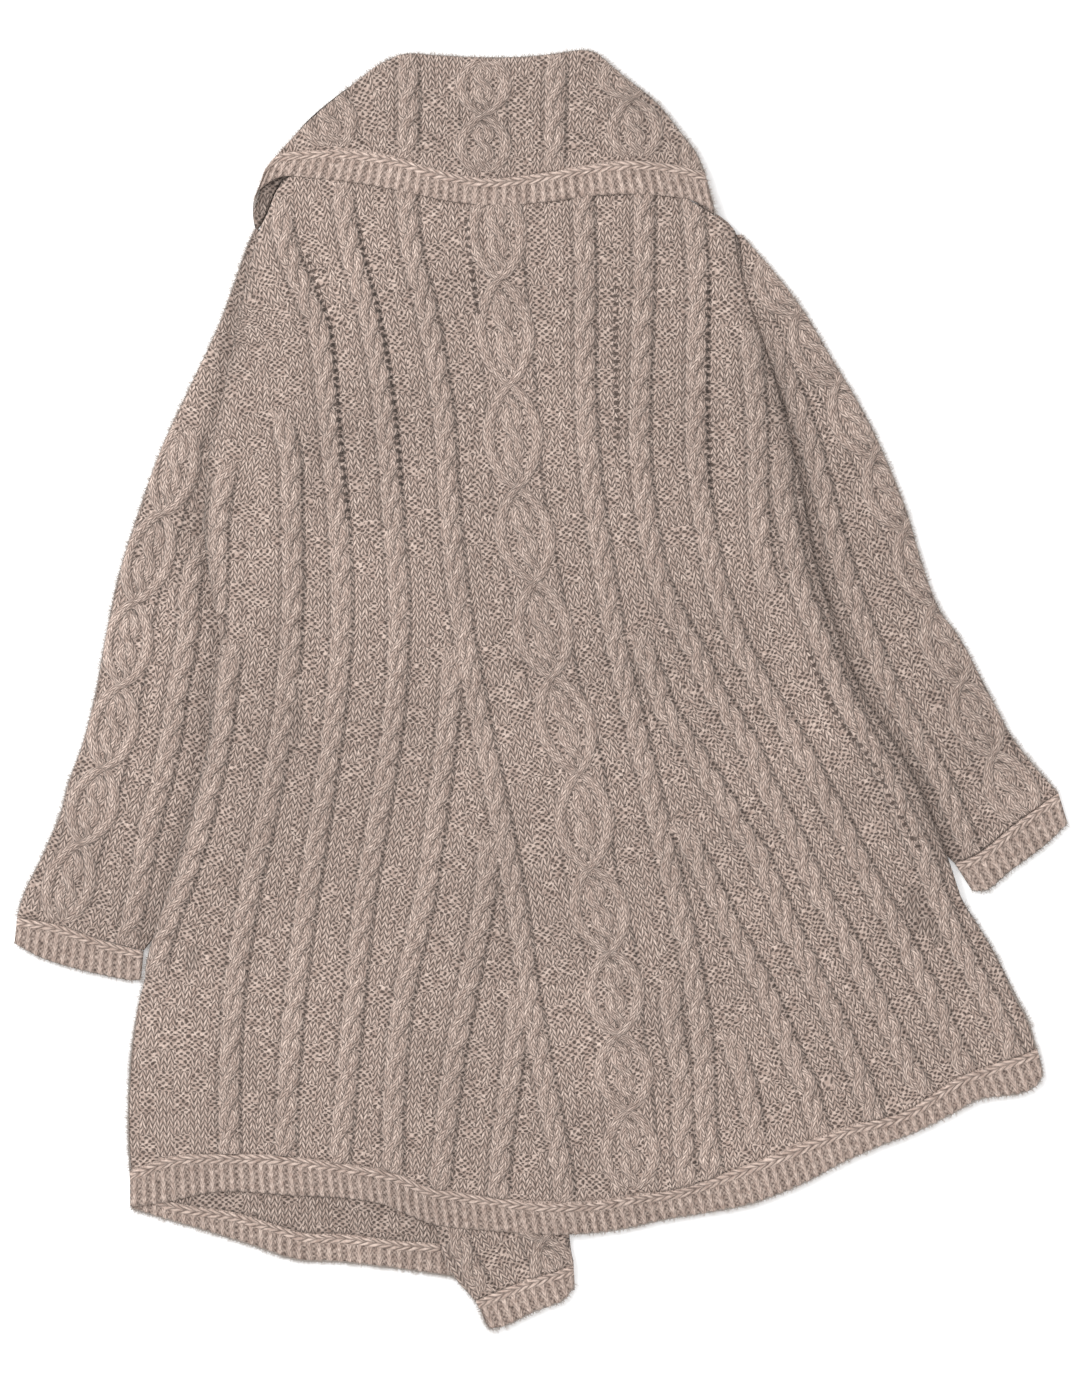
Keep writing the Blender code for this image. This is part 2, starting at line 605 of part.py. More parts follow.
# A sleeve or cuff: a flattened tube, open at both ends, resting on the table.
def tube(name, outer, inner, head, mouth, spots=(), covers=(), colour=WOOL, mirrored=False):
    rims = [(a, b) for cover in covers for a, b in zip(cover, cover[1:] + cover[:1])]
    loop = outer[:-1] + mouth[:-1] + inner[::-1][:-1] + head[::-1][:-1]
    if mirrored:
        loop = [loop[0]] + loop[:0:-1]
    corners = [outer[0], mouth[0], mouth[-1], head[-1]]
    if mirrored:
        corners = [outer[0], head[-1], mouth[-1], mouth[0]]
    flat = skin(loop, rims, [])
    flat_rim = rim(flat[2], flat[0], corners[0])
    edge = [(*flat[0][i], 0.0) for i in flat_rim]
    top = skin(edge, rims, spots)
    top_rim = rim(top[2], top[0], corners[0])
    if len(top_rim) != len(flat_rim):
        raise ValueError(name + ": rims differ")
    wall = SLEEVE_WALL

    # The hollow follows the sides one wall further in, and shares the ends.
    hollow = []
    plan = [flat[0][i] for i in flat_rim]
    marks = [min(range(len(plan)), key=lambda i: gap(plan[i], corner)) for corner in corners] + [len(plan)]
    count = len(plan)
    hollow_marks = []
    for side in range(4):
        part = [plan[i % count] for i in range(marks[side], marks[side + 1] + 1)]
        before = plan[marks[side] - 1]
        after = plan[(marks[side + 1] + 1) % count]
        hollow_marks.append(len(hollow))
        is_end = side % 2 == (0 if mirrored else 1)
        if is_end:
            first = mix(part[0], part[1], wall / gap(part[0], part[1]))
            last = mix(part[-1], part[-2], wall / gap(part[-1], part[-2]))
            hollow += [first] + part[1:-1] + [last]
        else:
            hollow += beside(part, wall)[1:-1]
    hollow_marks.append(len(hollow))
    ceiling = skin(hollow, [], [])
    floor_rim = rim(ceiling[2], ceiling[0], hollow[0])
    points = [(x, y, 0.0) for x, y in flat[0]]
    at_top = len(points)
    points += [(x, y, SLEEVE_TOP + up) for (x, y), up in zip(top[0], top[1])]
    at_floor = len(points)
    points += [(x, y, wall) for x, y in ceiling[0]]
    at_ceiling = len(points)
    points += [(x, y, wall + SLEEVE_SPACE) for x, y in ceiling[0]]
    faces = [tuple(reversed(face)) for face in flat[2]]
    faces += [tuple(i + at_top for i in face) for face in top[2]]
    faces += [tuple(i + at_floor for i in face) for face in ceiling[2]]
    faces += [tuple(i + at_ceiling for i in reversed(face)) for face in ceiling[2]]
    order = [min(range(len(floor_rim)), key=lambda k: gap(ceiling[0][floor_rim[k]], hollow[0]))][0]
    ring = floor_rim[order:] + floor_rim[:order]
    size = len(ring)
    for side in range(4):
        is_end = side % 2 == (0 if mirrored else 1)
        span = range(marks[side], marks[side + 1])
        inner_span = range(hollow_marks[side], hollow_marks[side + 1])
        if not is_end:
            for k in span:
                n = (k + 1) % count
                faces.append((flat_rim[k], flat_rim[n], top_rim[n] + at_top, top_rim[k] + at_top))
            first = hollow_marks[side] - 1
            for k in range(first, hollow_marks[side + 1]):
                a = ring[k % size]
                b = ring[(k + 1) % size]
                faces.append((a + at_floor, a + at_ceiling, b + at_ceiling, b + at_floor))
            continue
        outer_ids = [k % count for k in range(marks[side], marks[side + 1] + 1)]
        inner_ids = list(inner_span)
        for k in range(len(inner_ids) - 1):
            a = ring[inner_ids[k]]
            b = ring[inner_ids[k + 1]]
            p = outer_ids[k]
            q = outer_ids[k + 1]
            faces.append((flat_rim[p], flat_rim[q], b + at_floor, a + at_floor))
            faces.append((a + at_ceiling, b + at_ceiling, top_rim[q] + at_top, top_rim[p] + at_top))
        a = ring[inner_ids[0]]
        b = ring[inner_ids[-1]]
        p = outer_ids[0]
        q = outer_ids[-1]
        faces.append((flat_rim[p], a + at_floor, a + at_ceiling, top_rim[p] + at_top))
        faces.append((b + at_floor, flat_rim[q], top_rim[q] + at_top, b + at_ceiling))
    used = sorted({i for face in faces for i in face})
    new = {old_index: i for i, old_index in enumerate(used)}
    return add_object(name, [points[i] for i in used], [tuple(new[i] for i in f) for f in faces], colour)


# Outlines shared by several pieces

EDGE_STEP = 16
left_side = smooth(LEFT_SIDE, EDGE_STEP)
right_side = smooth(RIGHT_SIDE, EDGE_STEP)
back_seam = smooth(BACK_SEAM, EDGE_STEP)
back_edge = smooth(BACK_EDGE, EDGE_STEP)
shoulders = smooth(SHOULDER_LINE, EDGE_STEP)
collar_fold = smooth(COLLAR_FOLD, EDGE_STEP)
collar_seam = smooth(COLLAR_SEAM, EDGE_STEP)
collar_edge = smooth(COLLAR_EDGE, EDGE_STEP)
body_loop = left_side[:-1] + back_edge + right_side[::-1] + shoulders[::-1][1:-1]
collar_loop = collar_edge + collar_fold[::-1]
back_cover = left_side[:-1] + back_edge + right_side[::-1][1:] + [(0, 300)]


def build_back():
    seam = shared_seam(back_seam, back_edge)
    loop = left_side[:-1] + seam[:-1] + right_side[::-1][:-1] + shoulders[::-1][:-1]
    covers = [[p for p in collar_loop]]
    spots = []
    for spots_of in [wide(BACK_WIDE)] + [rope(table) for table in BACK_ROPES.values()]:
        spots += spots_of
    spots = sift(spots, loop, covers)
    spots = sift(plain_fill(spots, loop, 40, 11), loop, covers)
    lines = edges_inside(SLEEVE_EDGES + FLAP_RAMP.edges, loop, 5)
    hidden = collar_loop
    top_lines = [(a, b) for a, b in lines if inside(a, hidden) or inside(b, hidden)]
    panel("back_panel", loop, under_back, spots, WALL, lines, top_lines, covers)


def build_back_welt():
    seam = [(x, y - SEAM_GAP) for x, y in back_seam]
    lines = edges_inside(SLEEVE_EDGES + FLAP_RAMP.edges, back_edge, 5)
    welt("back_welt", seam, back_edge, under_back, RIB_WALL, lines)


def build_left_front():
    seam = shared_seam(smooth(LEFT_FRONT_SEAM, 12), smooth(LEFT_FRONT_EDGE, 12))
    inner = smooth(LEFT_FRONT_INNER, 30)
    side = [p for p in left_side if p[1] > -390] + [(-329, -396)]
    top = [p for p in shoulders if p[0] < -160][::-1]
    loop = side[:-1] + seam[:-1] + inner[:-1] + [inner[-1]] + top[:-1]
    lines = edges_inside(LEFT_RAMP.edges, loop, 5)
    panel("left_front", loop, ground, (), WALL, lines, lines)


def build_left_front_welt():
    seam = [(x, y - SEAM_GAP) for x, y in smooth(LEFT_FRONT_SEAM, 12)]
    welt("left_front_welt", seam, smooth(LEFT_FRONT_EDGE, 12), ground)


def build_right_front():
    seam = smooth(RIGHT_FRONT_SEAM, 40)
    inner = smooth(RIGHT_FRONT_INNER, 30)
    side = [p for p in right_side if p[1] > -255]
    top = [p for p in shoulders if p[0] > 112]
    loop = inner[:-1] + seam[:-1] + [seam[-1]] + side[::-1] + top[::-1][1:]
    lines = edges_inside(RIGHT_RAMP.edges, loop, 5)
    panel("right_front", loop, ground, (), WALL, lines, lines)


def build_right_front_welt():
    seam = [(x + 0.1, y - SEAM_GAP) for x, y in smooth(RIGHT_FRONT_SEAM, 40)]
    edge = smooth(RIGHT_FRONT_EDGE, 40)
    loop = edge + seam[::-1]
    lines = edges_inside(RIGHT_RAMP.edges, loop, 5)
    panel("right_front_welt", loop, ground, (), WALL, lines, lines)


def build_flap():
    seam = shared_seam(smooth(FLAP_SEAM, 6), smooth(FLAP_EDGE, 6))
    fold = smooth(FLAP_FOLD, 30)
    front = smooth(FLAP_FRONT_EDGE, 12)[::-1]
    loop = front[:-1] + seam[:-1] + fold
    covers = [back_cover]
    spots = sift(rope(FLAP_ROPE), loop, covers)
    edge_line = beside(smooth(FLAP_FRONT_EDGE[:4], 6), -7)
    spots = sift([(x, y, 0.9) for x, y in edge_line] + spots, loop, covers)
    panel("left_front_flap", loop, under_flap, spots, WALL, (), (), covers)


def build_flap_welt():
    seam = [(x + 0.1, y - SEAM_GAP) for x, y in smooth(FLAP_SEAM, 6)]
    welt("flap_welt", seam, smooth(FLAP_EDGE, 6), under_flap)


def build_sleeve(side, table, cuff_seam, cuff_edge, cables, mirrored):
    outer = smooth([(row[0], row[1]) for row in table], 22)
    inner = smooth([(row[2], row[3]) for row in table], 22)
    seam = shared_seam(smooth(cuff_seam, 6), smooth(cuff_edge, 6))
    head = [outer[0], mix(outer[0], inner[0], 0.5), inner[0]]
    loop = outer + seam[1:-1] + inner[::-1]
    if mirrored:
        loop = loop[::-1]
    covers = [body_loop]
    wide_table, rope_table = cables
    spots = wide(wide_table, 17.5) + rope(rope_table)
    spots = sift(spots, loop, covers)
    tube(side + "_sleeve", outer, inner, head, seam, spots, covers, WOOL, mirrored)

    # The cuff is a shorter tube past the seam, with ribs along it and a chain at its seam.
    ribs = rib_count(smooth(cuff_edge, 6))
    edge = evenly(smooth(cuff_edge, 6), ribs * 2)
    top = evenly(smooth(cuff_seam, 6), ribs * 2)
    top = [mix(a, b, SEAM_GAP / gap(a, b)) for a, b in zip(top, edge)]
    outer = [top[0], mix(top[0], edge[0], 0.5), edge[0]]
    inner = [top[-1], mix(top[-1], edge[-1], 0.5), edge[-1]]
    head = top[::2]
    mouth = edge[::2]
    loop = outer + mouth[1:-1] + inner[::-1] + head[::-1][1:-1]
    if mirrored:
        loop = loop[::-1]
    spots = []
    for k in range(1, ribs * 2):
        spots.append((*mix(top[k], edge[k], 0.9), RIB_RISE if k % 2 else 0.0))
        spots.append((*mix(top[k], edge[k], 0.46), RIB_RISE if k % 2 else 0.0))
        if k % 2:
            spots.append((*mix(top[k], edge[k], 0.2), CHAIN_RISE))
    spots = sift(spots, loop, covers, 1.2)
    tube(side + "_cuff", outer, inner, head, mouth, spots, covers, WOOL, mirrored)


def build_collar():
    low_left = (-230, 368)
    neck = [(x, y + SEAM_GAP) for x, y in shoulders]
    stand = [p for p in neck if -224 < p[0] < 138]
    loop = [low_left] + stand + collar_fold[::-1]
    lines = edges_inside(SLEEVE_EDGES, loop, 5)
    panel("collar_stand", loop, under_back, (), WALL, lines, lines, (), WOOL_SHADE)
    ends = {"left": -1, "right": 1}
    for side, sign in ends.items():
        turn = -46
        part = [p for p in loop if (p[0] - turn) * sign > 24]
        panel(side + "_collar_front", part, ground, (), WALL, edges_inside(SLEEVE_EDGES, part, 5),
              edges_inside(SLEEVE_EDGES, part, 5), (), WOOL_SHADE)
    fold = [p for p in collar_fold if p[1] > 417 or -200 < p[0] < 120]
    loop = shared_seam(collar_seam, collar_edge) + fold[::-1]
    spots = []
    for table in COLLAR_WIDE.values():
        spots += wide(table, 19)
    for table in COLLAR_ROPES.values():
        spots += rope(table)
    spots = sift(spots, loop)
    lines = edges_inside(SLEEVE_EDGES, loop, 5)
    panel("collar_fall", loop, under_collar, spots, WALL, lines, lines)
    seam = [(x, y - SEAM_GAP) for x, y in collar_seam]
    lines = edges_inside(SLEEVE_EDGES, seam + collar_edge, 5)
    welt("collar_welt", seam, collar_edge, under_collar, RIB_WALL, lines)


build_back()
build_back_welt()
build_left_front()
build_left_front_welt()
build_right_front()
build_right_front_welt()
build_flap()
build_flap_welt()
build_sleeve("left", LEFT_SLEEVE, LEFT_CUFF_SEAM, LEFT_CUFF_EDGE, LEFT_CABLES, False)
build_sleeve("right", RIGHT_SLEEVE, RIGHT_CUFF_SEAM, RIGHT_CUFF_EDGE, RIGHT_CABLES, True)
build_collar()
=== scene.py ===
import bpy, math
import numpy as np
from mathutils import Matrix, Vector
from mathutils.geometry import delaunay_2d_cdt


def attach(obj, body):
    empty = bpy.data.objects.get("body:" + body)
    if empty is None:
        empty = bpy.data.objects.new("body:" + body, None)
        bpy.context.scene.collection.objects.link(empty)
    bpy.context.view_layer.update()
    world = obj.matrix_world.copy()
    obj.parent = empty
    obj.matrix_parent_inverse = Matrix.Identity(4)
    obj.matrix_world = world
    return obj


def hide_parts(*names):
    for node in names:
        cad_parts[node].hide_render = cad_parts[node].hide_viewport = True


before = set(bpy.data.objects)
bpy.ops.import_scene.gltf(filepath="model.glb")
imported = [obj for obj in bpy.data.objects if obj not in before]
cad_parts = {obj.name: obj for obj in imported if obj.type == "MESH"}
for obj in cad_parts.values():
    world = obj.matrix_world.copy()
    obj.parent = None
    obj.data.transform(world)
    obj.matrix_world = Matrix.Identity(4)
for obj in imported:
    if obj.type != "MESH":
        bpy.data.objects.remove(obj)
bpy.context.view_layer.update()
mm = 0.001  # tables below are in millimetres, X right, Y to the collar, Z up

stitchWide, rowTall = 5.5, 4.4  # one knitted stitch of the aran wool
layer, wallThick = 2.6, 2.2  # height of one layer with its air, and of the cloth alone
sleeveTop, sleeveLift = 4.6, 5.0  # a sleeve's own height, and how far it lifts the body
pressed, cornerAt = 14.0, -196  # width of the thin strip along an edge; where the collar's left corner starts
leastThick, footGap = 0.5, 0.15  # a panel's least height over what it lies on, and its foot's
flapTop, flapSlope = -14, 26.0  # upper end of the flap's fold, and how far the back slopes down past it
foldGain = 1.35  # all folds are laid this much deeper than the tables say

# outlines, as traced for the solids: x, y
leftSide = [
    (-226, 366), (-234, 335), (-241, 304), (-247, 272), (-255, 232), (-266, 184), (-269, 120),
    (-259, 56), (-257, 33), (-265, 5), (-266, -42), (-274, -72), (-281, -96), (-290, -131),
    (-314, -211), (-317, -232), (-323, -256), (-329, -296), (-331, -352), (-329, -386),
]
rightSide = [
    (154, 369), (163, 320), (187, 248), (207, 168), (219, 104), (239, 40), (259, -8), (271, -24),
    (299, -72), (323, -128), (334, -160), (339, -172), (362, -209), (380, -246), (390, -264),
    (397, -288),
]
# at the left shoulder the back's rolled edge runs up to the collar, beside the collar's dark inner side
shoulderEdge = [(-200, 412), (-211, 400), (-216, 388), (-221, 376)]
shoulderTop = [
    (-200, 412), (-160, 418), (-110, 423), (-46, 428), (20, 423), (67, 413), (110, 396), (154, 369),
]
backSeam = [
    (-329, -386), (-294, -374), (-261, -372), (-210, -373), (-159, -380), (-118, -387), (-91, -398),
    (-67, -402), (-42, -406), (-1, -410), (40, -410), (71, -405), (112, -399), (153, -385),
    (183, -374), (209, -364), (250, -348), (290, -338), (331, -312), (362, -300), (397, -288),
]
backEdge = [
    (-329, -414), (-298, -410), (-267, -403), (-238, -402), (-200, -405), (-159, -407), (-128, -412),
    (-108, -420), (-82, -429), (-42, -433), (-1, -436), (26, -436), (61, -433), (102, -424),
    (127, -420), (168, -412), (209, -396), (239, -380), (270, -366), (301, -354), (331, -339),
    (352, -328), (382, -324), (397, -317), (402, -307),
]
leftFrontSeam = [
    (-329, -396), (-294, -411), (-250, -418), (-220, -426), (-190, -435), (-159, -436),
    (-118, -441), (-79, -444), (-30, -451), (26, -458),
]
leftFrontEdge = [
    (-328, -416), (-302, -424), (-271, -433), (-230, -446), (-196, -457), (-159, -459),
    (-108, -465), (-74, -470), (-33, -475), (-1, -479), (27, -481),
]
leftFrontInner = [
    (-160, 409), (-108, 330), (-64, 240), (-34, 150), (-12, 60), (-4, -10), (0, -80), (5, -150),
    (12, -250), (18, -330), (20, -380), (23, -439), (26, -458),
]
flapFold = [(-5, -12)] + leftFrontInner[6:12] + [(26, -461)]
flapFront = [
    (-12, -16), (-45, -75), (-80, -160), (-100, -250), (-104, -320), (-98, -380), (-84, -429),
    (-80, -448), (-72, -467), (-53, -489),
]
flapSeam = [(-53, -489), (-21, -476), (-1, -469), (26, -461)]
flapEdge = [(-42, -511.6), (-27, -509), (-5, -498), (18, -489), (27, -476)]
rightFrontInner = [(110, 396), (62, 330), (38, 220), (34, 60), (36, -10), (40, -200), (44, -372)]
rightFrontSeam = [(44, -372), (140, -352), (209, -334), (290, -308), (362, -270), (388, -260)]
rightFrontEdge = [(44, -394), (145, -374), (215, -356), (297, -329), (372, -291), (395, -281)]
# hidden inner edges of the sleeves, where the body steps down: x, y, share of the full height
leftStep = [
    (-364, -300, 0.0), (-345, -262, 0.5), (-317, -218, 1.0), (-277, -152, 1.0), (-250, -100, 1.0),
    (-233, -36, 1.0), (-223, 40, 1.0), (-216, 104, 1.0), (-202, 184, 1.0), (-201, 232, 1.0),
    (-205, 300, 1.0), (-212, 352, 1.0), (-216, 373, 1.0), (-220, 392, 0.6), (-223, 412, 0.2),
    (-226, 430, 0.0),
]
rightStep = [
    (384, -247, 0.0), (360, -208, 0.5), (334, -164, 1.0), (311, -128, 1.0), (283, -80, 1.0),
    (251, -24, 1.0), (223, 32, 1.0), (199, 104, 1.0), (179, 176, 1.0), (163, 232, 1.0),
    (150, 300, 1.0), (144, 352, 1.0), (141, 373, 1.0), (138, 392, 0.6), (135, 412, 0.2),
    (132, 430, 0.0),
]
leftSleeveOuter = [
    (-229.5, 368.5), (-237, 351), (-247, 322), (-256, 297), (-266, 274), (-277, 251), (-301, 200),
    (-319, 152), (-338, 92), (-347, 50), (-353, 18), (-357, -4), (-366, -40), (-379, -76),
    (-385, -99), (-399, -132), (-414, -163), (-419.5, -182),
]
leftSleeveInner = [
    (-221, 368), (-214, 351), (-211, 330), (-207, 300), (-203, 250), (-204, 184), (-211, 130),
    (-218, 85), (-224, 40), (-229, 0), (-234, -36), (-243, -72), (-252, -100), (-262, -124),
    (-279, -152), (-300, -186), (-318, -209),
]
rightSleeveOuter = [
    (161, 364), (173, 350), (187, 334), (211, 302), (231, 268), (255, 228), (271, 196), (291, 148),
    (304, 104), (314, 75), (322, 59), (336, 40), (358, -2), (376, -36), (396, -62), (414, -82),
]
rightSleeveInner = [
    (147, 364), (147, 350), (149, 325), (153, 300), (160, 260), (167, 215), (177, 176), (188, 140),
    (200, 100), (211, 68), (222, 36), (236, 6), (254, -32), (274, -66), (296, -104), (331, -139),
]
leftCuffSeam = [(-419.5, -182), (-388, -187), (-354, -199), (-318, -209)]
leftCuffEdge = [(-421.6, -203), (-399, -215), (-366, -225), (-327, -233), (-320, -230)]
rightCuffSeam = [(331, -139), (354, -128), (382, -105), (414, -82)]
rightCuffEdge = [(345, -161), (358, -160), (376, -145), (403, -125), (421.6, -107)]
collarFold = [
    (-230, 386), (-223, 408), (-213, 425), (-195, 445), (-170, 468), (-133, 498), (-110, 508.5),
    (-83, 507.5), (-53, 506), (-20, 506), (5, 508), (32, 511.6), (45, 509), (67, 490), (92, 470),
    (110, 448), (125, 428), (134, 403), (140, 380),
]
collarSeam = [
    (-221, 415), (-208, 428), (-183, 431), (-158, 432), (-120, 427), (-83, 416), (-46, 409),
    (-8, 412), (30, 418), (67, 423), (105, 420), (131, 413),
]
collarEdge = [
    (-229.5, 391), (-226, 399), (-208, 410), (-183, 409), (-146, 405), (-108, 398), (-70, 390),
    (-33, 387), (5, 390), (42, 395), (80, 396), (117, 392), (139, 382),
]

# cable centre lines, from collar to welt: x, y
backRopes = [
    [(-247, 40), (-252, -2), (-256, -36), (-264, -74), (-273, -112), (-284, -148), (-300, -190),
     (-310, -230)],
    [(-250, 184), (-258, 141), (-259, 98), (-261, 56), (-264, 24)],
    [(-211, 226), (-201, 187), (-200, 148), (-199, 70), (-205, -9), (-218, -87), (-234, -164),
     (-246, -242), (-250, -321), (-249, -390)],
    [(-209, 394), (-204, 355), (-190, 318), (-177, 282), (-169, 204), (-162, 126), (-160, 48),
     (-167, -30), (-178, -108), (-190, -185), (-199, -263), (-204, -341), (-205, -390)],
    [(-160, 410), (-156, 371), (-148, 333), (-137, 295), (-125, 218), (-119, 140), (-114, 62),
     (-118, -16), (-129, -93), (-142, -171), (-150, -248), (-157, -326), (-164, -395)],
    [(-109, 420), (-107, 381), (-102, 342), (-92, 304), (-79, 227), (-74, 149), (-66, 71),
     (-53, -6), (-37, -83), (-22, -160), (-11, -237), (3, -314), (17, -391), (17, -420)],
    [(-73, 34), (-73, -6), (-82, -85), (-93, -164), (-110, -242), (-118, -321), (-119, -400)],
    [(-44, -116), (-44, -156), (-58, -233), (-72, -311), (-81, -390), (-83, -410)],
    [(-20, -240), (-21, -282), (-32, -366), (-35, -418)],
    [(32, 420), (35, 342), (35, 264), (38, 186), (48, 108), (61, 31), (79, -45), (97, -121),
     (115, -197), (128, -274), (132, -351), (139, -400)],
    [(82, 420), (82, 342), (80, 264), (79, 186), (89, 108), (101, 71), (122, 32), (137, 0),
     (152, -22), (166, -45), (179, -75), (190, -96), (203, -121), (217, -152), (231, -178),
     (241, -195), (250, -212), (265, -243), (280, -272), (296, -305), (310, -328)],
    [(119, 410), (125, 332), (124, 254), (125, 176), (137, 98), (148, 61), (164, 24), (183, -9),
     (204, -42), (222, -76), (240, -108), (259, -146), (279, -182), (297, -216), (313, -248),
     (329, -282), (345, -315)],
    [(166, 292), (169, 259), (172, 218), (173, 177), (174, 135), (179, 94), (184, 74)],
    [(193, 196), (193, 157), (200, 118), (208, 80), (222, 43), (236, 6), (254, -29), (273, -63),
     (289, -99), (306, -134), (319, -171), (335, -207), (354, -242), (372, -277), (382, -305)],
    [(76, 48), (84, 25), (92, 5), (99, -16), (110, -33), (127, -58), (137, -75), (148, -92),
     (158, -110), (172, -130), (190, -170), (200, -194), (211, -216), (220, -236), (232, -258),
     (240, -276), (248, -295), (256, -315), (264, -336), (270, -362)],
    [(110, -106), (125, -135), (138, -162), (151, -190), (167, -218), (181, -245), (190, -266),
     (204, -301), (212, -316), (218, -338), (226, -366)],
    [(102, -228), (105, -269), (112, -310), (113, -351), (116, -402)],
    [(148, -272), (156, -292), (163, -314), (168, -338), (172, -368)],
]
backWide = [
    (-37, 402), (-33, 328), (-25, 244), (-19, 161), (-5, 86), (9, 10), (30, -67), (39, -143),
    (55, -210), (62, -276), (70, -337), (72, -404),
]
leftSleeveWide = [
    (-285, 212), (-303, 141), (-325, 70), (-336, 3), (-350, -63), (-368, -123), (-388, -190),
]
leftSleeveRopes = [[(-254, 158), (-268, 120), (-281, 84), (-283, 45), (-290, 6), (-296, -34),
                    (-304, -73), (-314, -111), (-321, -151), (-329, -189), (-334, -209)]]
rightSleeveWide = [
    (178, 348), (205, 300), (237, 244), (266, 187), (291, 128), (315, 68), (336, 5), (362, -52),
    (392, -110),
]
rightSleeveRopes = [[(177, 292), (186, 272), (200, 240), (214, 200), (225, 160), (236, 118), (248, 78),
                     (262, 40), (278, 2), (298, -34), (318, -70), (333, -104), (348, -140)]]
collarWide = [
    [(-182, 500), (-176, 480), (-163, 430)],
    [(-46, 507), (-46, 459), (-46, 410)],
    [(62, 508), (72, 472), (77, 422)],
]
collarRopes = [[(-108, 512), (-106, 470), (-108, 420)], [(12, 512), (11, 470), (10, 410)],
               [(-214, 446), (-216, 420)], [(118, 450), (122, 410)]]
flapRopes = [[(-70, -425), (-66, -442), (-56, -464), (-43, -486)]]
flapWide = [(-6, -400), (2, -440), (26, -500)]

# soft troughs and ridges: depth and half width, then x, y from the collar down
backFolds = [
    (-1.6, 13, [(-65, 330), (-45, 264), (-33, 224), (-49, 168), (-41, 96), (-81, 24), (-89, -40)]),
    (-1.4, 10, [(-2, -150), (3, -168), (23, -216), (30, -240)]),
    (-1.8, 14, [(2, -236), (7, -248), (27, -312), (47, -368), (80, -412)]),
    (-1.2, 12, [(-49, -290), (-49, -330), (-52, -380)]),
    (-1.2, 14, [(196, -90), (202, -120), (214, -160)]),
    (-1.4, 16, [(192, -270), (200, -320), (214, -372)]),
    (1.2, 18, [(-150, 340), (-140, 250), (-142, 120), (-150, 20)]),
    (1.0, 22, [(60, 300), (58, 180), (80, 60), (120, -40)]),
    (1.1, 20, [(-180, -180), (-190, -260), (-182, -370)]),
    (1.3, 18, [(330, -180), (345, -230), (360, -290)]),
    (-1.2, 16, [(300, -150), (320, -210), (330, -270)]),
    (-1.5, 12, [(-232, 330), (-222, 270), (-232, 200), (-240, 120)]),
    (1.2, 10, [(-243, 190), (-249, 140), (-246, 60), (-262, -20)]),
]
sleeveFolds = [
    (1.4, 7, [(-283, 190), (-294, 130), (-294, 98), (-288, 56), (-280, 24)]),
    (-1.0, 12, [(-300, 150), (-310, 100), (-322, 60)]),
    (-1.0, 14, [(-262, 200), (-262, 120), (-250, 60)]),
    (1.0, 18, [(-330, -40), (-352, -110), (-372, -170)]),
    (-1.0, 12, [(225, 250), (246, 190), (262, 130)]),
    (1.0, 16, [(300, 40), (330, -20), (360, -80)]),
]


# plane curves

def smoothLine(table, step=4.0):  # a smooth line through a table's points
    points = [np.array(p[:2], float) for p in table]
    out = []
    for i in range(len(points) - 1):
        a, b = points[i], points[i + 1]
        before, after = points[max(i - 1, 0)], points[min(i + 2, len(points) - 1)]
        parts = max(1, int(round(np.linalg.norm(b - a) / step)))
        for k in range(parts):
            t = k / parts
            bend = 2 * before - 5 * a + 4 * b - after
            twist = 3 * a - before - 3 * b + after
            out.append(a + 0.5 * t * ((b - before) + t * (bend + t * twist)))
    out.append(points[-1])
    return np.array(out)


def runAlong(line):  # length from a line's start to each of its points
    return np.concatenate([[0], np.cumsum(np.linalg.norm(np.diff(line, axis=0), axis=1))])


def evenLine(line, count):  # the same line with equal steps
    runs = runAlong(line)
    want = np.linspace(0, runs[-1], count + 1)
    return np.stack([np.interp(want, runs, line[:, 0]), np.interp(want, runs, line[:, 1])], axis=1)


def lineLength(line):
    return float(np.linalg.norm(np.diff(line, axis=0), axis=1).sum())


def coonsGrid(left, right, top, bottom, rows, cols):  # a sheet of points between four lines
    lft, rgt = evenLine(smoothLine(left), rows), evenLine(smoothLine(right), rows)
    tp, btm = evenLine(smoothLine(top), cols), evenLine(smoothLine(bottom), cols)
    v = np.linspace(0, 1, rows + 1)[:, None, None]
    u = np.linspace(0, 1, cols + 1)[None, :, None]
    ruled = (1 - v) * tp[None] + v * btm[None] + (1 - u) * lft[:, None] + u * rgt[:, None]
    corners = (1 - u) * (1 - v) * tp[0] + u * (1 - v) * tp[-1] + (1 - u) * v * btm[0] + u * v * btm[-1]
    return ruled - corners


class Course:  # a line down the garment, read as x for each y
    def __init__(self, table):
        line = smoothLine(table, 3.0)
        order = np.argsort(line[:, 1])
        self.y, self.x = line[order, 1], line[order, 0]
        self.slope = np.gradient(self.x, self.y)
        steps = np.hypot(np.diff(self.x), np.diff(self.y))
        self.run = np.concatenate([[0], np.cumsum(steps)])
        self.run = self.run[-1] - self.run  # counted from the upper end down
        self.low, self.high = self.y[0], self.y[-1]

    def local(self, x, y):  # across to the right, along downwards, share inside the ends
        slope = np.interp(y, self.y, self.slope)
        cosine = 1 / np.sqrt(1 + slope ** 2)
        off = x - np.interp(y, self.y, self.x)
        beyond = np.maximum(y - self.high, 0) - np.maximum(self.low - y, 0)
        along = np.interp(y, self.y, self.run) - beyond - off * slope * cosine
        return off * cosine, along, np.minimum(self.high - y, y - self.low)


def xyOf(plan):
    return plan[:, :, 0], plan[:, :, 1]


def smoothStep(t):
    t = np.clip(t, 0, 1)
    return t * t * (3 - 2 * t)


# heights of what lies under each layer

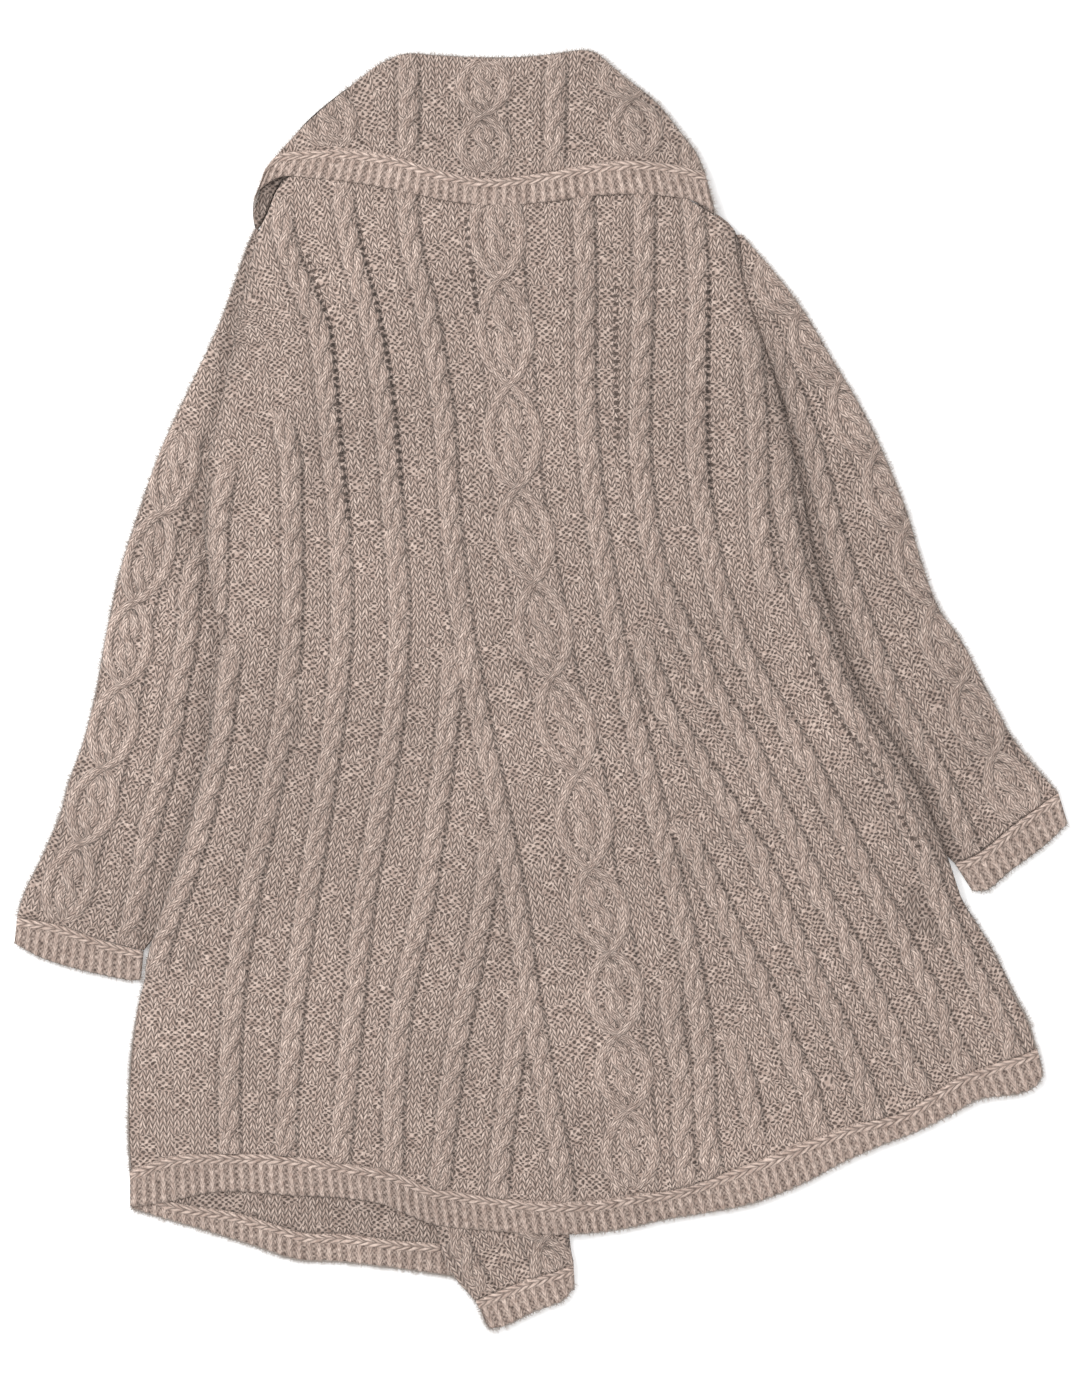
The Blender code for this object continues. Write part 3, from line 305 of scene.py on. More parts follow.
leftStepLine, rightStepLine = Course(leftStep), Course(rightStep)
flapFrontLine, flapFoldLine = Course(flapFront + [(-42, -530)]), Course(flapFold + [(30, -530)])


def stepLift(x, y, line, table, inward):
    across, _, _ = line.local(x, y)
    rows = sorted((row[1], row[2]) for row in table)
    share = np.interp(y, [r[0] for r in rows], [r[1] for r in rows])
    share = np.where((y > rows[0][0]) & (y < rows[-1][0]), share, 0)
    return share * (1 - smoothStep((across * inward + 2) / 38.0))


def ground(x, y):  # the table, or a sleeve
    lift = np.maximum(stepLift(x, y, leftStepLine, leftStep, 1), stepLift(x, y, rightStepLine, rightStep, -1))
    return sleeveLift * lift


leftEdge, rightEdge = Course(leftSide), Course(rightSide)


def sideLocal(x, y, side):  # how far inside the body's side edge, and how far inside its ends
    across, _, inside = (leftEdge if side == "left" else rightEdge).local(x, y)
    return (across if side == "left" else -across), inside


def fromSide(x, y, side):  # the same, with 1 beside the edge and 0 past its ends
    inward, inside = sideLocal(x, y, side)
    return inward, smoothStep((inside + 6) / 6.0)


def coveredByBody(x, y, side):  # 1 where the body lies on the sleeve
    inward, inside = sideLocal(x, y, side)
    return smoothStep((inward + 3.5) / 3.0) * (inside > -1)


def shoulderFade(y, side):  # the right shoulder runs on into its sleeve, so the shade between them fades out
    return 1 - (0.7 * smoothStep((y - 220) / 110) if side == "right" else 0)


def thinning(x, y):  # the layers lie pressed together along the body's sides
    thin = np.zeros_like(x)
    for side in ("left", "right"):
        inward, beside = fromSide(x, y, side)
        thin = np.maximum(thin, (1 - smoothStep(inward / pressed)) * beside)
    return thin


def underBack(x, y):  # the fronts, and the flap folded back between them
    beyond = np.maximum(flapFrontLine.local(x, y)[0] * -1, flapFoldLine.local(x, y)[0])
    beyond = np.hypot(np.maximum(beyond, 0), np.maximum(y - flapTop, 0))
    return ground(x, y) + layer * (1 - 0.7 * thinning(x, y)) + layer * (1 - smoothStep(beyond / flapSlope))


def underCollar(x, y):  # lower at the left end, where it lies on the rolled corner
    return ground(x, y) + layer * (2 - 0.85 * smoothStep((-206 - x) / 20.0))


def underFlap(x, y):
    return ground(x, y) + layer


def foldHeight(x, y, folds):
    height = np.zeros_like(x)
    for depth, width, table in folds:
        across, _, inside = Course(table).local(x, y)
        height += foldGain * depth * np.exp(-(across / width) ** 2) * smoothStep((inside + 15) / 45.0)
    return height


# knitted relief

strandWide, strandTall = 4.9, 2.4  # half width and height of a strand in the shader
holeBeat = 4.19  # dropped holes come every row and a half
rope = {"swing": 3.9, "strand": 4.9, "pitch": 23.0, "rise": 2.1, "over": 0.7}
oval = {"strand": 4.8, "rise": 2.1, "over": 0.7, "power": 0.72, "turns": 3.2, "run": 72.0,
        "inner": 4.3, "innerWide": 4.6, "innerRise": 1.9, "innerOver": 0.7}
grooves = {"at": 1.0, "wide": 2.8, "deep": 0.45}  # beside a cable


def softCap(off, width, rise):
    return np.maximum(rise, 0) * np.exp(-1.15 * (off / width) ** 2)


class Cable:  # a twisted rope, or a wide cable of two strands that cross round an inner rope
    def __init__(self, table, half=0.0):
        self.course = Course(table)
        self.half = half
        self.reach = half + 5.5 if half else 9.0
        heights = np.array([row[1] for row in table], float)
        self.crossings = np.interp(heights, self.course.y, self.course.run)

    def turn(self, along):  # crossings counted from the top
        if not self.half:
            return along / rope["pitch"]
        first = self.crossings
        past = np.where(along > first[-1], (along - first[-1]) / 70, 0)
        return np.interp(along, first, np.arange(len(first))) + past

    def relief(self, x, y):  # soft ridges for the mesh; the shader sharpens them
        across, along, inside = self.course.local(x, y)
        w = self.turn(along)
        fade = smoothStep((inside + 4) / 26.0)
        if self.half:
            t = w % 1
            parity = 1 - 2 * (np.floor(w) % 2)
            near = np.clip(1 - 7 * np.minimum(t, 1 - t), 0, 1)
            centre = self.half * np.sin(math.pi * t) ** oval["power"] * parity
            over = oval["over"] * near * parity * np.sign(t - 0.5)
            caps = [softCap(across - centre, oval["strand"], oval["rise"] + over),
                    softCap(across + centre, oval["strand"], oval["rise"] - over)]
            ends = smoothStep((np.minimum(t, 1 - t) - 0.08) * 8)
            spin = math.pi * t * oval["turns"]
            inner, lift = oval["inner"] * np.cos(spin), -oval["innerOver"] * np.sin(spin)
            caps += [ends * softCap(across - inner, oval["innerWide"], oval["innerRise"] + lift),
                     ends * softCap(across + inner, oval["innerWide"], oval["innerRise"] - lift)]
        else:
            centre, over = rope["swing"] * np.cos(math.pi * w), rope["over"] * np.sin(math.pi * w)
            caps = [softCap(across - centre, rope["strand"], rope["rise"] + over),
                    softCap(across + centre, rope["strand"], rope["rise"] - over)]
        height = sum(cap ** 4 for cap in caps) ** 0.25
        groove = np.exp(-((np.abs(across) - self.reach - grooves["at"]) / grooves["wide"]) ** 2)
        return (height - grooves["deep"] * groove * (height < 0.6)) * fade

    def threads(self, x, y):  # stitch, row, crossing count, half width and share of the cable
        across, along, inside = self.course.local(x, y)
        return (across / stitchWide + 0.5, along / rowTall, self.turn(along), np.full_like(x, self.half),
                smoothStep((inside + 4) / 26.0))


def cablesOf(ropes, wides=(), half=0.0):
    return [Cable(table) for table in ropes] + [Cable(table, half) for table in wides]


def knitHeight(cables, x, y):
    height = np.zeros_like(x)
    for cable in cables:
        near = np.abs(x - np.interp(y, cable.course.y, cable.course.x)) < cable.reach * 2.2 + 14
        near &= (y > cable.course.low - 12) & (y < cable.course.high + 12)
        h, part = cable.relief(x[near], y[near]), height[near]
        height[near] = np.where(h > 0.05, np.maximum(part, h), np.where(part > 0.05, part, np.minimum(part, h)))
    return height


def faceThreads(cables, cx, cy, x, y):  # each face follows its nearest cable
    nearest, distance = np.zeros(cx.shape, int), np.full(cx.shape, 1e9)
    for number, cable in enumerate(cables):
        across, _, inside = cable.course.local(cx, cy)
        far = np.abs(across) - cable.reach + np.maximum(-inside, 0) * 2.5
        nearest, distance = np.where(far < distance, number, nearest), np.minimum(far, distance)
    out = np.zeros((5, *x.shape))
    for number, cable in enumerate(cables):
        faces = nearest == number
        if faces.any():
            out[:, faces] = cable.threads(x[faces], y[faces])
    return out


ladders = [[(-188, 351), (-174, 308), (-166, 277), (-160, 192), (-154, 136)],
           [(-146, 373), (-134, 320), (-120, 249), (-112, 164)],
           [(134, 330), (134, 240), (136, 160)],
           [(214, 30), (227, -2), (244, -32), (261, -52), (278, -84), (293, -112), (303, -128)],
           [(-60, 380), (-56, 340), (-50, 300)], [(60, 330), (60, 250), (62, 200)]]


def ladderShare(x, y):  # columns of dropped holes
    share = np.zeros_like(x)
    for table in ladders:
        across, _, inside = Course(table).local(x, y)
        share = np.maximum(share, np.exp(-(across / 2.0) ** 2) * (inside > 0))
    return share


# wool

class Wire:  # a value in a node tree that adds and multiplies as a number does
    def __init__(self, tree, socket):
        self.tree, self.socket = tree, socket

    def op(self, kind, *others):
        node = self.tree.nodes.new("ShaderNodeMath")
        node.operation = kind
        for slot, value in zip(node.inputs, (self, *others)):
            plug(self.tree, slot, value)
        return Wire(self.tree, node.outputs[0])

    def __add__(self, other):
        return self.op("ADD", other)

    def __mul__(self, other):
        return self.op("MULTIPLY", other)

    def __sub__(self, other):
        return self.op("SUBTRACT", other)

    def __rsub__(self, other):
        return self * -1 + other

    __radd__, __rmul__ = __add__, __mul__

    def clip(self):
        return self.op("MAXIMUM", 0.0).op("MINIMUM", 1.0)


def plug(tree, slot, value):
    if isinstance(value, Wire):
        tree.links.new(value.socket, slot)
    else:
        slot.default_value = value


def sine(wire, turns=1.0):
    return (wire * turns).op("SINE")


def pick(mask, off, on):  # off where the mask is 0, on where it is 1
    return off + (on - off) * mask


def place(tree, kind, inputs=None, output=0, **settings):
    node = tree.nodes.new(kind)
    for key, value in settings.items():
        setattr(node, key, value)
    for key, value in (inputs or {}).items():
        plug(tree, node.inputs[key], value)
    return Wire(tree, node.outputs[output])


def noise(tree, vector, scale=1.0, output=0, **more):
    inputs = {key.title(): value for key, value in more.items()}
    return place(tree, "ShaderNodeTexNoise", {"Vector": vector, "Scale": scale, **inputs}, output)


def chanceOf(tree, vector):
    return place(tree, "ShaderNodeTexWhiteNoise", {"Vector": vector}, noise_dimensions="2D")


def joinXyz(tree, *values):
    return place(tree, "ShaderNodeCombineXYZ", dict(enumerate(values)))


def mixColor(tree, factor, a, b, blend="MIX"):
    node = tree.nodes.new("ShaderNodeMix")
    node.data_type, node.blend_type = "RGBA", blend
    for slot, value in ((0, factor), (6, a), (7, b)):
        plug(tree, node.inputs[slot], value)
    return Wire(tree, node.outputs[2])


def newGroup(name, inputs, outputs):
    group = bpy.data.node_groups.new(name, "ShaderNodeTree")
    for kind, label, value in inputs:
        socket = group.interface.new_socket(label, in_out="INPUT", socket_type="NodeSocket" + kind)
        if value is not None:
            socket.default_value = value
    for kind, label in outputs:
        group.interface.new_socket(label, in_out="OUTPUT", socket_type="NodeSocket" + kind)
    entry, leave = group.nodes.new("NodeGroupInput"), group.nodes.new("NodeGroupOutput")
    return group, {s.name: Wire(group, s) for s in entry.outputs if s.name}, leave.inputs


def splitXyz(tree, vector):
    node = tree.nodes.new("ShaderNodeSeparateXYZ")
    plug(tree, node.inputs[0], vector)
    return [Wire(tree, s) for s in node.outputs]


def buildCableGroup():  # which strand of a cable a spot is on, its own stitches there, how high it stands, and the shade painted in its gutters and creases
    tree, src, out = newGroup("cableStrands", [
        ("Vector", "Stitch", None), ("Vector", "Cable", None), ("Float", "Share", 0.0),
    ], [("Vector", "Stitch"), ("Float", "Plain"), ("Float", "Relief"), ("Float", "Shade")])
    u, v, _ = splitXyz(tree, src["Stitch"])
    w, half, _ = splitXyz(tree, src["Cable"])
    a = (u - 0.5) * stitchWide
    isWide = half.op("GREATER_THAN", 1.0)
    t = w.op("FRACT")
    parity = 1.0 - (w.op("FLOOR") * 0.5).op("FRACT") * 4.0
    nearEnd = t.op("MINIMUM", 1.0 - t)
    ovalSine = sine(t, math.pi).op("MAXIMUM", 0.004)
    ovalCentre = half * ovalSine.op("POWER", oval["power"]) * parity
    ovalOver = (1.0 - nearEnd * 7.0).clip() * (t - 0.5).op("SIGN") * parity * 1.2
    ovalLean = half * (t * math.pi).op("COSINE") * ovalSine.op("MAXIMUM", 0.1).op("POWER", oval["power"] - 1)
    ovalLean = ovalLean * parity * (oval["power"] * math.pi / oval["run"])
    ropeCentre = (w * math.pi).op("COSINE") * rope["swing"]
    ropeSine = sine(w, math.pi)
    centre = pick(isWide, ropeCentre, ovalCentre)
    over = pick(isWide, ropeSine * 0.9, ovalOver)
    lean = pick(isWide, ropeSine * (-rope["swing"] * math.pi / rope["pitch"]), ovalLean)

    def strand(middle, lift, slope, width, mask=None):
        off = a - middle
        d = off * (1.0 / width)
        height = (1.0 - d * d).op("MAXIMUM", 0.0).op("SQRT") * strandTall
        height = (height + lift) * d.op("ABSOLUTE").op("LESS_THAN", 1.0)
        return (height if mask is None else height * mask), off * (1.0 / width), slope

    def higher(one, two):  # the upper of two strands, and the crease where they meet
        above = two[0].op("GREATER_THAN", one[0])
        both = one[0].op("MINIMUM", two[0]).op("GREATER_THAN", 0.0)
        crease = (1.0 - (one[0] - two[0]).op("ABSOLUTE") * 0.9).clip() * both
        return [pick(above, p, q) for p, q in zip(one, two)], crease

    best, crease = higher(strand(centre, over, lean, strandWide),
                          strand(centre * -1, over * -1, lean * -1, strandWide))
    spin = t * (math.pi * oval["turns"])
    innerSine, innerCentre = spin.op("SINE"), spin.op("COSINE") * oval["inner"]
    ends = ((nearEnd - 0.09) * 10.0).clip() * isWide
    innerLean = innerSine * (-oval["inner"] * math.pi * oval["turns"] / oval["run"])
    inner, innerCrease = higher(strand(innerCentre, innerSine * -0.8, innerLean, 4.7, ends),
                                strand(innerCentre * -1, innerSine * 0.8, innerLean * -1, 4.7, ends))
    (height, d, slope), ovalCrease = higher(best, inner)
    crease = crease.op("MAXIMUM", innerCrease * isWide).op("MAXIMUM", ovalCrease)
    on = (height.op("GREATER_THAN", 0.05)) * src["Share"].op("GREATER_THAN", 0.25)
    strandRow = v + slope * d * (strandWide / rowTall)
    plug(tree, out["Stitch"], joinXyz(tree, pick(on, u, d), pick(on, v, strandRow)))
    plug(tree, out["Plain"], on)
    plug(tree, out["Relief"], height * on * src["Share"])
    # painted shade: darker in the gutter beside a cable and in the pits down its right, at the edges of strands
    # and in the creases where they cross; the strands a little lighter
    side = d.op("ABSOLUTE")
    outside = (half + 1.0).op("MAXIMUM", 9.4)
    gutter = (1.0 - ((a.op("ABSOLUTE") - outside) * 0.45).op("ABSOLUTE")).clip() * (1.0 - on) * src["Share"]
    pits = (v * holeBeat).op("COSINE").clip() * a.op("GREATER_THAN", 0.0)  # holes down a cable's right, their darkness painted as shade
    gutter = gutter + gutter * pits * 1.2
    edge = (side * side * side).clip() * 0.30 + crease * 0.60
    plug(tree, out["Shade"], pick(on, 0.98 - gutter * 0.34, 1.0 + (0.08 - edge) * src["Share"]))
    return tree


def buildStitchGroup():
    tree, src, out = newGroup("knitStitches", [
        ("Vector", "Stitch", None), ("Float", "Plain", 1.0), ("Float", "Rib", 0.0), ("Float", "Ladder", 0.0),
    ], [("Float", "Height"), ("Float", "Ply")])
    u, v, _ = splitXyz(tree, src["Stitch"])
    wobble = noise(tree, src["Stitch"], 0.8, 1, detail=2.0)
    across, down, third = splitXyz(tree, wobble)
    looseU, looseV = u + (across - 0.5) * 1.0, v + (down - 0.5) * 1.3
    v = v + (down - 0.5) * 0.6
    u = u + (across - 0.5) * 0.36
    halfU = (u.op("FRACT") - 0.5).op("ABSOLUTE")  # 0 in a stitch's middle, 0.5 at its side
    side = (u * 2.0).op("FLOOR")
    shift = chanceOf(tree, joinXyz(tree, u.op("FLOOR")))
    legRow = v * 0.85 + halfU * 1.9 + shift
    legRound = sine(legRow.op("FRACT"), math.pi)
    off = (halfU - 0.26) * 3.7
    legBody = (1.0 - off * off).op("MAXIMUM", 0.0)
    lay = joinXyz(tree, legRow * 2.3, halfU * 1.7, side * 3.7)  # strands along a leg
    streak = noise(tree, lay, detail=1.0, roughness=0.6)
    leaning = (u.op("FRACT") - 0.5).op("SIGN") * v * 0.2 - u  # brushed fibres run along the legs
    fibres = noise(tree, joinXyz(tree, leaning * 4.0, v * 0.55, side * 2.3), detail=2.0, roughness=0.55)
    plain = (legBody * 0.8 + 0.2) * (legRound * 1.15 + 0.04) + (streak - 0.5) * 0.5 + (fibres - 0.5) * 0.4
    dots = (looseU * (2 * math.pi)).op("COSINE") * (looseV * (2 * math.pi)).op("COSINE")
    waves = (looseV * (4 * math.pi)).op("COSINE")
    purl = (dots * 1.5).op("MINIMUM", 0.5) * 0.56 - waves * 0.12 + 0.56 + (third - 0.5) * 0.6
    column, block = (u * 0.4).op("FLOOR"), (v * 0.27).op("FLOOR")
    chance = chanceOf(tree, joinXyz(tree, column, block))
    checks = ((column + block) * 0.5).op("FRACT").op("LESS_THAN", 0.25)
    moss = (checks - chance.op("GREATER_THAN", 0.9)).op("ABSOLUTE")
    grain = noise(tree, joinXyz(tree, u * 4.0, v * 0.9), detail=1.0)
    ribSpot = (u * 0.5).op("FRACT")
    ribLine = (1.0 - (ribSpot - 0.75).op("ABSOLUTE") * 8.0).clip()
    ribs = pick(ribSpot.op("LESS_THAN", 0.5), plain * 0.50 + ribLine * 0.26 + (grain - 0.5) * 0.55 + 0.32,
                dots * 0.34 + 0.45 + (third - 0.5) * 0.55)
    smooth = pick(src["Rib"], plain * 0.84 + 0.16, plain * 0.8 + 0.16)  # cable strands, and the chain of a welt
    height = pick(src["Plain"], pick(src["Rib"], pick(moss, purl, plain), ribs), smooth).clip()
    # dropped holes: the height falls to nothing there, so they take the painted gap shade
    hole = ((v * holeBeat).op("COSINE") * 1.4 - 0.2).clip() * (src["Ladder"] * 1.8 - 0.4).clip()
    plug(tree, out["Height"], (height - hole * 1.6).clip())
    plug(tree, out["Ply"], pick(src["Plain"].op("MAXIMUM", moss), third, streak))
    return tree


def buildWoolGroup():  # heathered, brushed yarn: light and dark plies, painted shade in the gaps between stitches, loose fibre
    tree, src, out = newGroup("heatherWool", [
        ("Color", "GapShade", (0.076, 0.053, 0.044, 1)), ("Color", "Mid", (0.42, 0.309, 0.26, 1)),
        ("Color", "Light", (0.725, 0.58, 0.503, 1)), ("Float", "Ply", 0.5), ("Float", "Height", 1.0),
        ("Float", "Shade", 1.0),
    ], [("Color", "Color"), ("Float", "Fuzz")])
    spot = Wire(tree, tree.nodes.new("ShaderNodeTexCoord").outputs["Object"])
    tone = noise(tree, spot, 230.0, detail=3.0, roughness=0.65)
    broad = noise(tree, spot, 7.0, detail=3.0)
    hair = noise(tree, spot, 420.0, detail=1.0, distortion=1.4)
    hair = (1.0 - (hair - 0.5).op("ABSOLUTE") * 16.0).clip()
    marl = tone * 0.6 + src["Ply"] * 0.4
    yarn = mixColor(tree, ((marl - 0.40) * 4.2).clip(), src["Mid"], src["Light"])
    # painted shade: the lower the stitch, the nearer its colour comes to the dark gap shade
    gap = ((1.0 - src["Height"]) * 1.1).clip().op("POWER", 1.3)
    color = mixColor(tree, gap, yarn, src["GapShade"])
    color = mixColor(tree, hair * 0.22, color, src["Light"])
    wash = (broad * 0.44 + 0.78) * src["Shade"]
    gray = place(tree, "ShaderNodeCombineColor", {0: wash, 1: wash, 2: wash})
    plug(tree, out["Color"], mixColor(tree, 1.0, color, gray, "MULTIPLY"))
    plug(tree, out["Fuzz"], marl * 0.7 + hair * 0.3)
    return tree


cableGroup, stitchGroup, woolGroup = buildCableGroup(), buildStitchGroup(), buildWoolGroup()


def groupNode(tree, group, inputs):
    node = tree.nodes.new("ShaderNodeGroup")
    node.node_tree = group
    for key, value in inputs.items():
        plug(tree, node.inputs[key], value)
    return {s.name: Wire(tree, s) for s in node.outputs}


def newMaterial(name, values):
    material = bpy.data.materials.new(name)
    material.use_nodes = True
    shader = material.node_tree.nodes["Principled BSDF"]
    for key, value in values.items():
        shader.inputs[key].default_value = value
    return material, material.node_tree, shader


def addObject(name, data):
    made = bpy.data.objects.new(name, data)
    bpy.context.scene.collection.objects.link(made)
    return made


def woolMaterial(name, rib=0.0, tone=1.0):
    material, tree, shader = newMaterial(name, {
        "Roughness": 0.92, "Specular IOR Level": 0.12, "Sheen Weight": 0.25, "Sheen Roughness": 0.6,
        "Sheen Tint": (0.95, 0.88, 0.82, 1)})
    marks = tree.nodes.new("ShaderNodeSeparateColor")  # plain, shade and ladder
    plug(tree, marks.inputs[0], place(tree, "ShaderNodeAttribute", attribute_name="cloth"))
    plain, shade, ladder = [Wire(tree, s) for s in marks.outputs]
    stitch = Wire(tree, place(tree, "ShaderNodeUVMap", uv_map="stitch").socket)
    height = 0.0
    if not rib:
        course = place(tree, "ShaderNodeUVMap", uv_map="course")
        cable = groupNode(tree, cableGroup, {"Stitch": stitch, "Cable": course, "Share": plain})
        stitch, plain, height, shade = cable["Stitch"], cable["Plain"], cable["Relief"], cable["Shade"] * shade
    knit = groupNode(tree, stitchGroup, {"Stitch": stitch, "Plain": plain, "Rib": rib, "Ladder": ladder})
    wool = groupNode(tree, woolGroup, {"Ply": knit["Ply"], "Height": knit["Height"], "Shade": shade})
    for key in ("GapShade", "Mid", "Light"):
        socket = wool["Color"].socket.node.inputs[key]
        socket.default_value = [c * tone for c in socket.default_value[:3]] + [1]
    plug(tree, shader.inputs["Base Color"], wool["Color"])
    surface = knit["Height"] * 1.1 + wool["Fuzz"] * 0.3 + height * 0.74
    bump = place(tree, "ShaderNodeBump", {"Height": surface, "Strength": 1.0, "Distance": mm})
    plug(tree, shader.inputs["Normal"], bump)
    return material


rightSideWool = woolMaterial("woolRightSide")
wrongSideWool = woolMaterial("woolWrongSide", tone=0.86)
ribWool = woolMaterial("woolRib", rib=1.0)


# meshes

def fillRing(ring, spots):  # triangles of the plan inside a ring of points
    count = len(ring)
    points = [Vector((float(p[0]), float(p[1]))) for p in ring] + [Vector(p) for p in spots]
    made = delaunay_2d_cdt(points, [(i, (i + 1) % count) for i in range(count)], [], 1, 1e-4)
    plan = np.array([(p[0], p[1]) for p in made[0]])
    back = {}
    for i, sources in enumerate(made[3]):
        for s in sources:
            back[s] = i
    return plan, [tuple(f) for f in made[2]], [back[i] for i in range(count)]


def finishPiece(name, points, quads, triangles, uv, cloth, material, spec):
    mesh = bpy.data.meshes.new(name)
    faces = quads.tolist() + [list(f) for f in triangles]
    mesh.from_pydata((points * mm).tolist(), [], faces)
    corners = len(mesh.loops)
    index = np.empty(corners, int)
    mesh.loops.foreach_get("vertex_index", index)
    maps = {"stitch": points[index][:, :2] / stitchWide, "course": np.zeros((corners, 2))}
    # walls and lower faces: painted shade, 0.8 in the shade channel
    allCloth = np.tile([0.0, 0.8, 0.0, 1.0], (corners, 1))
    allCloth[:len(cloth)] = cloth
    for number, key in enumerate(maps):
        if number < len(uv):
            maps[key][:len(uv[number])] = uv[number]
        mesh.uv_layers.new(name=key).data.foreach_set("uv", maps[key].astype(np.float32).ravel())
    attribute = mesh.attributes.new("cloth", "FLOAT_COLOR", "CORNER")
    attribute.data.foreach_set("color", allCloth.astype(np.float32).ravel())
    mesh.shade_smooth()
    mesh.materials.append(material)
    mesh.update()
    made = addObject(name, mesh)
    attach(made, "root")
    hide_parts(*spec["node"])
    print(name, len(mesh.polygons), "faces")


def gridQuads(rows, cols, stride=None):
    stride = stride or cols + 1
    i, j = np.meshgrid(np.arange(rows), np.arange(cols), indexing="ij")
    a = i * stride + j
    return np.stack([a, a + stride, a + stride + 1, a + 1], axis=-1).reshape(-1, 4)


def edgeRoll(distance, radius, drop):
    t = np.clip(1 - distance / radius, 0, 1)
    return drop * (1 - np.sqrt(np.clip(1 - t * t, 0, 1)))


def edgeDistances(plan):  # from each grid point to the four sides
    sides = plan[:, :1], plan[:, -1:], plan[:1], plan[-1:]
    return [np.linalg.norm(plan - side, axis=-1) for side in sides]


def clothPanel(name, plan, top, under, stitches, material, spec):
    # a panel: a fine upper face, an edge that turns down, and a plain lower face
    rows, cols = plan.shape[0] - 1, plan.shape[1] - 1
    for distance, radius, depth in zip(edgeDistances(plan), spec["roll"], spec["drop"]):
        top = top - edgeRoll(distance, radius, depth) if radius else top
    top = np.maximum(top, under(*xyOf(plan)) + leastThick)
    points = np.concatenate([plan.reshape(-1, 2), top.reshape(-1, 1)], axis=1)
    quads = gridQuads(rows, cols)
    number = np.arange((rows + 1) * (cols + 1)).reshape(rows + 1, cols + 1)
    ring = np.concatenate([number[:-1, 0], number[-1, :-1], number[:0:-1, -1], number[0, :0:-1]])
    outline = points[ring][:, :2]
    after, before = np.roll(outline, -1, axis=0), np.roll(outline, 1, axis=0)
    side = (after - before) / np.maximum(np.linalg.norm(after - before, axis=1, keepdims=True), 1e-9)
    inward = np.stack([-side[:, 1], side[:, 0]], axis=1)
    low = outline + inward * 0.5
    spots = [tuple(p) for p in plan[8:-8:24, 8:-8:24].reshape(-1, 2)]
    flat, faces, back = fillRing(low, spots)
    start = len(points)
    base = under(flat[:, 0], flat[:, 1])[:, None] + footGap
    points = np.concatenate([points, np.concatenate([flat, base], axis=1)])
    triangles = [tuple(start + i for i in reversed(f)) for f in faces]
    walls = []
    for k in range(len(ring)):
        n = (k + 1) % len(ring)
        walls.append((int(ring[k]), start + back[k], start + back[n], int(ring[n])))
    uv, cloth = stitches
    finishPiece(name, points, quads, walls + triangles, uv, cloth, material, spec)


def cableStitches(plan, cables, shade=None):
    quads = gridQuads(plan.shape[0] - 1, plan.shape[1] - 1)
    flat = plan.reshape(-1, 2)
    x, y = flat[quads][:, :, 0], flat[quads][:, :, 1]
    u, v, w, half, share = faceThreads(cables, x.mean(1), y.mean(1), x, y)
    tone = np.ones_like(x) if shade is None else shade.reshape(-1)[quads]
    cloth = np.stack([share.ravel(), tone.ravel(), ladderShare(x, y).ravel(), np.ones(x.size)], axis=1)
    return [np.stack(pair, axis=-1).reshape(-1, 2) for pair in ((u, v), (w, half))], cloth


def sway(x, y, size, seed=0.0):  # a slow uneven rise and fall
    a, b = x / size + seed, y / size - seed
    return np.sin(a * 1.7 + 0.8 * np.sin(b * 1.3)) * np.cos(b * 1.1 + 0.9 * np.sin(a * 0.9 + seed))


print("back")
backCables = cablesOf(backRopes, [backWide], 19.5)
plan = coonsGrid(shoulderEdge + leftSide, rightSide, shoulderTop, backSeam, 292, 330)
x, y = xyOf(plan)
thin = thinning(x, y)
relief = knitHeight(backCables, x, y) + foldHeight(x, y, backFolds) + 0.9 * sway(x, y, 46)
top = underBack(x, y) + np.maximum(wallThick * (1 - 0.25 * thin) + relief * (1 - 0.6 * thin), 1.2)
# painted broad light and shade on the back: lighter towards the hem, darker in a strip inside each side edge
# beside a sleeve, a little darker along the free edges below
hemLight = {"lighter": 0.065, "from": -110, "over": 140}
edgeShade = {"left": (-205, 0.22), "right": (-140, 0.30), "below": 0.10, "width": 6.5}  # y where the sleeve ends; painted shade inside the side edge, darker by
dim = 1 + hemLight["lighter"] * smoothStep((hemLight["from"] - y) / hemLight["over"])
for side in ("left", "right"):
    inward, beside = fromSide(x, y, side)
    sleeveEnd, deep = edgeShade[side]
    dark = np.where(y > sleeveEnd, deep, edgeShade["below"]) * np.exp(-(inward / edgeShade["width"]) ** 2)
    dim = dim - beside * shoulderFade(y, side) * dark
clothPanel("backKnit", plan, top, underBack, cableStitches(plan, backCables, dim), rightSideWool, {
    "node": ["back_panel"], "flat": (0.73, 0.84), "area": 0.46,
    "on": ["left_front", "right_front", "left_sleeve", "right_sleeve"],
    "roll": (6, 6, 0, 0), "drop": (1.3, 1.3, 0, 0)})


weltBand = {"rows": 22, "gap": 0.0, "ribsFrom": 8.4, "chainAt": 5.2, "chainHalf": 4.0, "bank": 0.7}
cuffBand = {"rows": 26, "gap": 0.3, "ribsFrom": 7.4, "chainAt": 3.9, "chainHalf": 3.7, "bank": 0.0}
ribWide, perRib, ribEdge = 8.0, 8, 2.0  # a rib's width, its grid columns, and the slope where ribs start
chainTall, chainStitch, seamLap = 1.9, 6.6, 1.3
bandShade = {"top": 1.06, "down": 0.14}  # painted shade: darker between the ribs, where the band lies low
